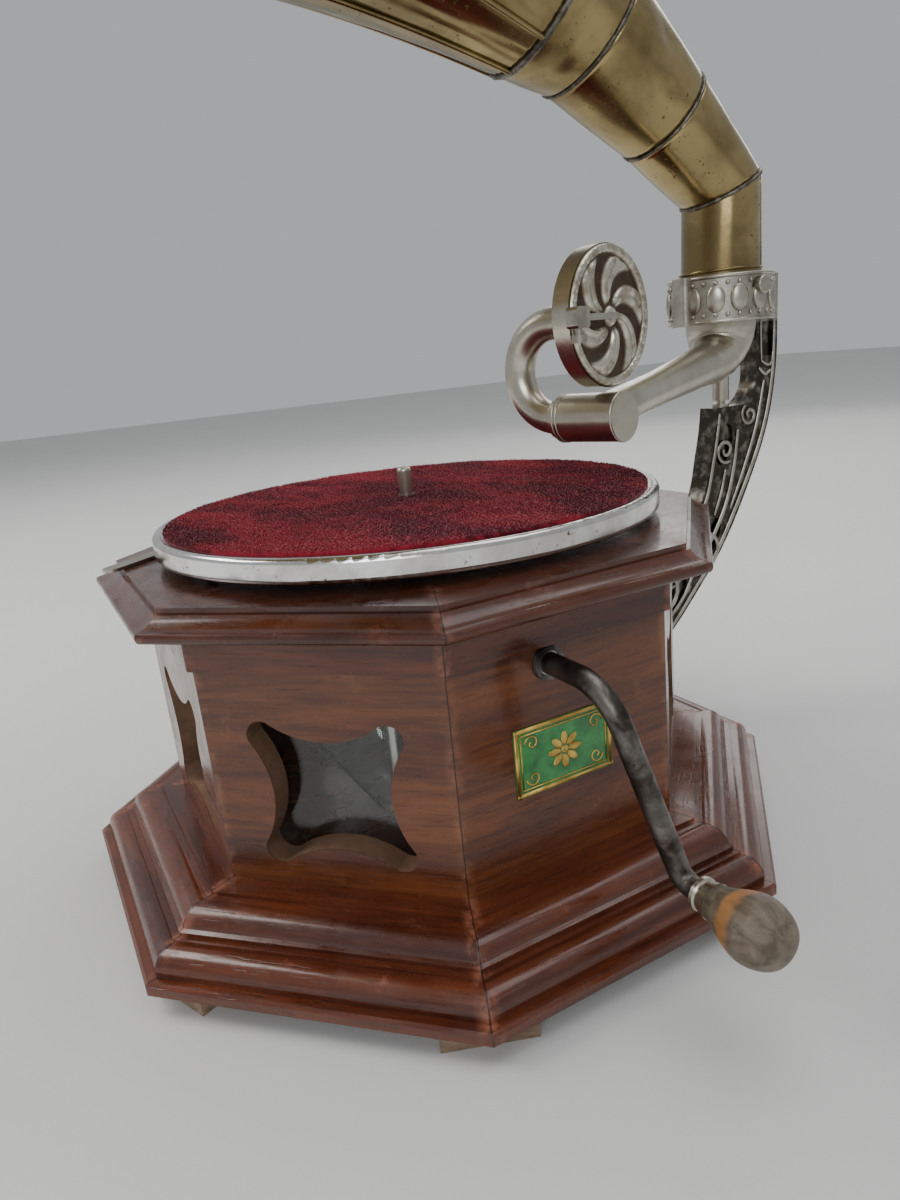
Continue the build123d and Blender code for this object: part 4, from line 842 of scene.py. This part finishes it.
def coverTree():
    tree, taken = startTree("leafCover", (
        ("Radius", number, 0.0284), ("Leaves", "NodeSocketInt", 9), ("Sweep", number, 1.5),
        ("Base", number, 0.01), ("Relief", number, 0.0017), ("Material", "NodeSocketMaterial", None)))
    sheet = node(tree, "GeometryNodeMeshGrid", {"Size X": 1.0, "Size Y": 1.0, "Vertices X": 61,
                                                "Vertices Y": 289}).outputs[0]
    at = axes(tree, tree.nodes.new("GeometryNodeInputPosition").outputs[0])
    share = plus(tree, at[0], 0.5)
    turn = times(tree, at[1], 2 * pi)
    swirl = plus(tree, turn, times(tree, taken["Sweep"], calc(
        tree, "POWER", share, 1.5)))
    wave = calc(tree, "COSINE", times(tree, swirl, taken["Leaves"]))
    leaf = ramp(tree, wave, -0.75, 0.55)
    vein = times(tree, ramp(tree, wave, 0.86, 1.0), 0.35)
    leaf = minus(tree, leaf, vein)
    window = times(tree, ramp(tree, share, 0.14, 0.3), ramp(tree, share, 0.88, 0.78))
    rim = ramp(tree, share, 0.84, 0.9)
    edge = ramp(tree, share, 1.0, 0.96)
    dimples = ramp(tree, calc(tree, "SINE", times(tree, turn, 48.0)), -0.2, 0.9)
    beadRow = times(tree, ramp(tree, share, 0.88, 0.9), ramp(tree, share, 0.96, 0.94))
    beads = times(tree, times(tree, dimples, 0.3), beadRow)
    boss = ramp(tree, share, 0.17, 0.1)
    tall = calc(tree, "MAXIMUM", times(tree, leaf, window), times(tree, minus(tree, rim, beads), edge))
    tall = calc(tree, "MAXIMUM", tall, boss)
    tall = calc(tree, "MULTIPLY_ADD", tall, taken["Relief"], taken["Base"])
    radius = times(tree, share, taken["Radius"])
    spot = node(tree, "ShaderNodeCombineXYZ", {
        0: times(tree, radius, calc(tree, "COSINE", turn)),
        1: times(tree, radius, calc(tree, "SINE", turn)),
        2: plus(tree, tall, 0.0001)}).outputs[0]
    shaped = node(tree, "GeometryNodeSetPosition", {"Geometry": sheet, "Position": spot}).outputs[0]
    closed = node(tree, "GeometryNodeMergeByDistance", {"Geometry": shaped, "Distance": 0.000002}).outputs[0]
    endTree(tree, closed, taken["Material"])
    return tree


# dark patina sits low in the relief, metal shows where it is rubbed
leafSilver, leafTree, leafShader, leafOut = makeMetal(
    "rubbedCover", (0.66, 0.62, 0.52, 1), (0.36, 0.31, 0.23, 1), (0.05, 0.03, 0.02, 1),
    150.0, 0.8, 0.2, 0.45, 0.3)
leafPlace = place(leafTree)
offAxis = node(leafTree, "ShaderNodeVectorMath", {0: leafPlace, 1: tuple(boxCentre)},
               operation="SUBTRACT").outputs[0]
offAxis = node(leafTree, "ShaderNodeVectorMath", {0: offAxis, 1: tuple(alongCross)},
               operation="DOT_PRODUCT").outputs["Value"]
lowPart = ramp(leafTree, offAxis, 0.0112, 0.0102)
lowPart = times(leafTree, lowPart, 0.92)
paint(leafTree, leafShader, blendColours(leafTree, lowPart, leafOut["Color"], (0.07, 0.04, 0.025, 1)),
      calc(leafTree, "MAXIMUM", leafOut["Roughness"], times(leafTree, lowPart, 0.6)))
relief = growPiece("soundbox_cover", coverTree(), {
    "Radius": cover["radius"] * mm, "Leaves": cover["leaves"], "Sweep": cover["sweep"],
    "Base": cover["base"] * mm, "Relief": cover["relief"] * mm, "Material": leafSilver},
    "sound_box", 0.12 * mm, boxPlace)
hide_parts("soundbox_front")


# turned beads where the gooseneck enters the cross tube, and round its capped end
tubeBeads = {"ring": 10.35, "thick": 0.5, "along": (-15.3, -13.4, 15.0)}
beads = []
for along in tubeBeads["along"]:
    path = [crossTube + (alongCross * along + boxForward * tubeBeads["ring"] * flat.x
                         + Vector((0, 0, tubeBeads["ring"])) * flat.y) * mm for flat in circle(72)]
    beads.append(tubeAlong(path, tubeBeads["thick"] * mm, 8, closed=True))
newPiece("cross_tube_beads", joinMeshes("cross_tube_beads", beads), "tone_arm", agedNickel)


# scrollwork on the cast bracket
def smoothPath(corners, steps=12):  # a Catmull-Rom run through (y, z) points, in the plane of one face
    out = []
    ends = [corners[0]] + list(corners) + [corners[-1]]
    for a, b, c, d in zip(ends, ends[1:], ends[2:], ends[3:]):
        for i in range(steps):
            t = i / steps
            out.append(tuple(0.5 * (2 * q + (r - p) * t + (2 * p - 5 * q + 4 * r - s) * t ** 2
                                    + (3 * q - p - 3 * r + s) * t ** 3) for p, q, r, s in zip(a, b, c, d)))
    out.append(tuple(corners[-1]))
    return out


def scroll(centre, radius, turns, start, way=1, steps=34):  # a spiral that winds in to an eye
    out = []
    for i in range(steps + 1):
        share = i / steps
        turn = radians(start) + way * turns * 2 * pi * share
        reach = radius * (1 - 0.82 * share)
        out.append((centre[0] + reach * cos(turn), centre[1] + reach * sin(turn)))
    return out


casting = {"face": 6.5, "bead": 1.5, "flat": 0.75}
outerEdge = smoothPath(((138, -134), (168, -118.5), (196, -91), (214.5, -71), (240, -30), (255.8, 3),
                        (263.2, 34), (264.8, 62)))
innerEdge = smoothPath(((139, -66), (164, -61), (188, -53.5), (203.8, -39), (211.3, -14), (215.2, 4),
                        (217, 15.5)))
spineFrame = [(253.6, 44), (263.6, 44), (263.6, 84), (253.6, 84), (253.6, 44)]
strokes = [(outerEdge, 1.5), (innerEdge, 1.4), (smoothPath(spineFrame, 4), 1.0),
           (scroll((165, -91), 19, 1.6, 200, -1), 2.0), (scroll((204, -68), 12.5, 1.5, 250, 1), 1.7),
           (scroll((222, -8), 8.0, 1.4, 300, -1), 1.4), (scroll((243, 12), 7.0, 1.3, 120, 1), 1.3),
           (smoothPath(((184, -97), (196, -78), (210, -62), (222, -42), (229, -20), (233, 4))), 1.6),
           (smoothPath(((150, -112), (172, -107), (190, -90))), 1.5),
           (smoothPath(((148, -76), (166, -70), (186, -66), (196, -56))), 1.4),
           (smoothPath(((226, -46), (238, -22), (249, 4), (256, 32))), 1.3),
           (smoothPath(((212, -48), (218, -34), (222, -20))), 1.2),
           (smoothPath(((251.5, 40), (257, 36), (262, 38))), 1.2)]
for k in range(6):  # a fan of leaf ribs at the foot
    angle = radians(150 - 24 * k)
    strokes.append((smoothPath(((163 + 5 * cos(angle), -91 + 5 * sin(angle)),
                                (163 + 12 * cos(angle - 0.3), -91 + 12 * sin(angle - 0.3)),
                                (163 + 20 * cos(angle - 0.2), -91 + 18 * sin(angle - 0.2))), 6), 1.1))
scrollParts = []
for side in (1, -1):
    for stroke, thick in strokes:
        path = [Vector((side * (casting["face"] + 0.1), y, z)) * mm for y, z in stroke]
        count = len(path)
        taper = [thick * mm * (0.55 + 0.45 * sin(pi * (0.12 + 0.76 * i / (count - 1)))) for i in range(count)]
        scrollParts.append(tubeAlong(path, taper, 8, flat=casting["flat"],
                                     flatDirection=Vector((side, 0, 0))))
newPiece("bracket_scrolls", joinMeshes("bracket_scrolls", scrollParts), "root", oldSilver)


def collarTree():
    # a row of rounded lobes round the collar, with a bead between each pair
    tree, taken = startTree("collarLobes", (
        ("Count", "NodeSocketInt", 14), ("Ring", number, 0.03), ("Lobe", number, 0.005),
        ("Height", number, 0.0825), ("Material", "NodeSocketMaterial", None)))
    ball = node(tree, "GeometryNodeMeshUVSphere", {"Segments": 16, "Rings": 10,
                                                   "Radius": taken["Lobe"]}).outputs[0]
    middle = node(tree, "ShaderNodeCombineXYZ", {0: taken["Ring"], 2: taken["Height"]}).outputs[0]
    lobe = node(tree, "GeometryNodeTransform", {"Geometry": ball, "Scale": (0.38, 1.0, 1.45),
                                                "Translation": middle}).outputs[0]
    small = node(tree, "GeometryNodeMeshUVSphere", {"Segments": 10, "Rings": 6, "Radius": 0.0015}).outputs[0]
    rows = []
    for lift in (0.0088, -0.0088):
        shifted = node(tree, "ShaderNodeCombineXYZ", {
            0: taken["Ring"], 2: plus(tree, taken["Height"], lift)}).outputs[0]
        bead = node(tree, "GeometryNodeTransform", {"Geometry": small, "Translation": shifted}).outputs[0]
        rows.append(spinCopies(tree, bead, times(tree, taken["Count"], 2.0),
                               over(tree, pi, taken["Count"])))
    whole = tree.nodes.new("GeometryNodeJoinGeometry")
    for part in rows + [spinCopies(tree, lobe, taken["Count"])]:
        tree.links.new(part, whole.inputs[0])
    endTree(tree, whole.outputs[0], taken["Material"])
    return tree


collar = {"lobes": 14, "ring": 30, "lobe": 5.4, "height": 82.5, "wire": 1.1, "wireHeights": (70.2, 94.8)}
growPiece("collar_lobes", collarTree(), {
    "Count": collar["lobes"], "Ring": collar["ring"] * mm, "Lobe": collar["lobe"] * mm,
    "Height": collar["height"] * mm, "Material": oldSilver}, "root",
    placeBy=Matrix.Translation((0, postY * mm, 0)))
collarRings = []
for z in collar["wireHeights"]:
    path = [(Vector((0, postY, z)) + flat * collar["ring"]) * mm for flat in circle(120)]
    collarRings.append(tubeAlong(path, collar["wire"] * mm, 8, closed=True))
newPiece("collar_rings", joinMeshes("collar_rings", collarRings), "root", oldSilver)


# the small gilt framed plate on the crank's side: a frame and a plain rosette
plateLow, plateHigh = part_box("decal_plate")
plateFace = plateHigh[0]
plateMid = Vector((plateFace, (plateLow[1] + plateHigh[1]) / 2, (plateLow[2] + plateHigh[2]) / 2))
rosettePetals = 8


def frameStrokes():
    half = Vector(((plateHigh[1] - plateLow[1]) / 2, (plateHigh[2] - plateLow[2]) / 2)) / mm
    strokes = []
    for inset, thick in ((1.1, 1.0), (3.2, 0.35)):
        w, h = half[0] - inset, half[1] - inset
        corners = [(-w, -h), (w, -h), (w, h), (-w, h)]
        path = [plateMid + Vector((0, y, z)) * mm for y, z in corners]
        for start, end in zip(path, path[1:] + path[:1]):
            reach = (end - start).normalized() * thick * mm
            strokes.append(tubeAlong([start - reach, end + reach], thick * mm, 8, flat=0.35,
                                     flatDirection=Vector((1, 0, 0))))
    for sy in (-1, 1):
        for sz in (-1, 1):
            curl = scroll((sy * (half[0] - 8.5), sz * (half[1] - 7.5)), 3.6, 1.2, 90 * (1 - sy), sy * sz, 20)
            strokes.append(tubeAlong([plateMid + Vector((0, y, z)) * mm for y, z in curl], 0.42 * mm, 6,
                                     flat=0.5, flatDirection=Vector((1, 0, 0))))
    return strokes


def rosetteTree():
    tree, taken = startTree("rosette", (("Petals", "NodeSocketInt", 8), ("Reach", number, 0.0052),
                                        ("Petal", number, 0.0021), ("Material", "NodeSocketMaterial", None)))
    ball = node(tree, "GeometryNodeMeshUVSphere", {"Segments": 14, "Rings": 8,
                                                   "Radius": taken["Petal"]}).outputs[0]
    spot = node(tree, "ShaderNodeCombineXYZ", {0: taken["Reach"]}).outputs[0]
    petal = node(tree, "GeometryNodeTransform", {"Geometry": ball, "Scale": (1.5, 0.8, 0.16),
                                                 "Translation": spot}).outputs[0]
    eye = node(tree, "GeometryNodeTransform", {"Geometry": ball, "Scale": (0.9, 0.9, 0.22)}).outputs[0]
    whole = tree.nodes.new("GeometryNodeJoinGeometry")
    for part in (spinCopies(tree, petal, taken["Petals"]), eye):
        tree.links.new(part, whole.inputs[0])
    endTree(tree, whole.outputs[0], taken["Material"])
    return tree


newPiece("plate_frame", joinMeshes("plate_frame", frameStrokes()), "root", goldLeaf)
facing = Matrix(((0, 0, 1), (1, 0, 0), (0, 1, 0))).to_4x4()
growPiece("plate_rosette", rosetteTree(), {"Petals": rosettePetals, "Reach": 5.2 * mm, "Petal": 2.1 * mm,
                                           "Material": goldLeaf}, "root",
          placeBy=Matrix.Translation(plateMid) @ facing)
print("stage: ornament")


# floor, light and camera
def paleFloor():
    made, tree, shader = newMaterial("paleFloor", Roughness=0.6)
    where = place(tree)
    shade = blendColours(tree, cloud(tree, where, 3.0, 4.0, 0.6),
                         (0.60, 0.60, 0.59, 1), (0.66, 0.66, 0.65, 1))
    paint(tree, shader, shade)
    return made


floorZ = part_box("feet")[0][2]
floorHalf = 6
floorCorners = [(x * floorHalf, y * floorHalf, floorZ) for x, y in ((-1, -1), (1, -1), (1, 1), (-1, 1))]
floorMesh = meshOf("floor", floorCorners, [(0, 1, 2, 3)])
floorMesh.materials.append(paleFloor())
floor = bpy.data.objects.new("floor", floorMesh)
bpy.context.collection.objects.link(floor)

# name, where it stands, what it looks at, size in metres, power, tint
lamps = (("keyLamp", (-0.9, -1.3, 1.6), (0, 0, 0.05), 1.3, 38, (1.0, 0.98, 0.95)),
         ("sideLamp", (1.5, -1.0, 0.9), (0, 0, 0.0), 1.0, 12, (0.95, 0.98, 1.0)),
         ("topLamp", (0.2, 0.4, 1.9), (0, 0, 0.0), 1.6, 16, (1.0, 1.0, 1.0)),
         ("backLamp", (-1.2, 1.5, 1.0), (0, 0, 0.1), 1.2, 10, (1.0, 0.97, 0.94)))
for name, spot, target, size, power, tint in lamps:
    light = bpy.data.lights.new(name, "AREA")
    light.size, light.energy, light.color = size, power, tint
    lamp = bpy.data.objects.new(name, light)
    lamp.location = spot
    lamp.rotation_euler = (Vector(target) - Vector(spot)).to_track_quat("-Z", "Y").to_euler()
    bpy.context.collection.objects.link(lamp)

world = bpy.data.worlds.new("paleStudio")
world.use_nodes = True
sky = world.node_tree
sky.nodes["Background"].inputs["Color"].default_value = (0.80, 0.82, 0.84, 1)
sky.nodes["Background"].inputs["Strength"].default_value = 0.55
bpy.context.scene.world = world

lens = bpy.data.cameras.new("camera")
lens.lens, lens.sensor_width = 24.6, 36.0
lens.clip_start, lens.clip_end = 0.01, 30.0
camera = bpy.data.objects.new("camera", lens)
right, up = Vector((0.484, 0.870, -0.097)), Vector((-0.202, 0.219, 0.955))
back = right.cross(up).normalized()
up = back.cross(right).normalized()
right.normalize()
camera.matrix_world = Matrix.Translation((0.3837, -0.1803, 0.0648)) @ Matrix(
    (right, up, back)).transposed().to_4x4()
bpy.context.collection.objects.link(camera)
bpy.context.scene.camera = camera

print("stage: scene ready")
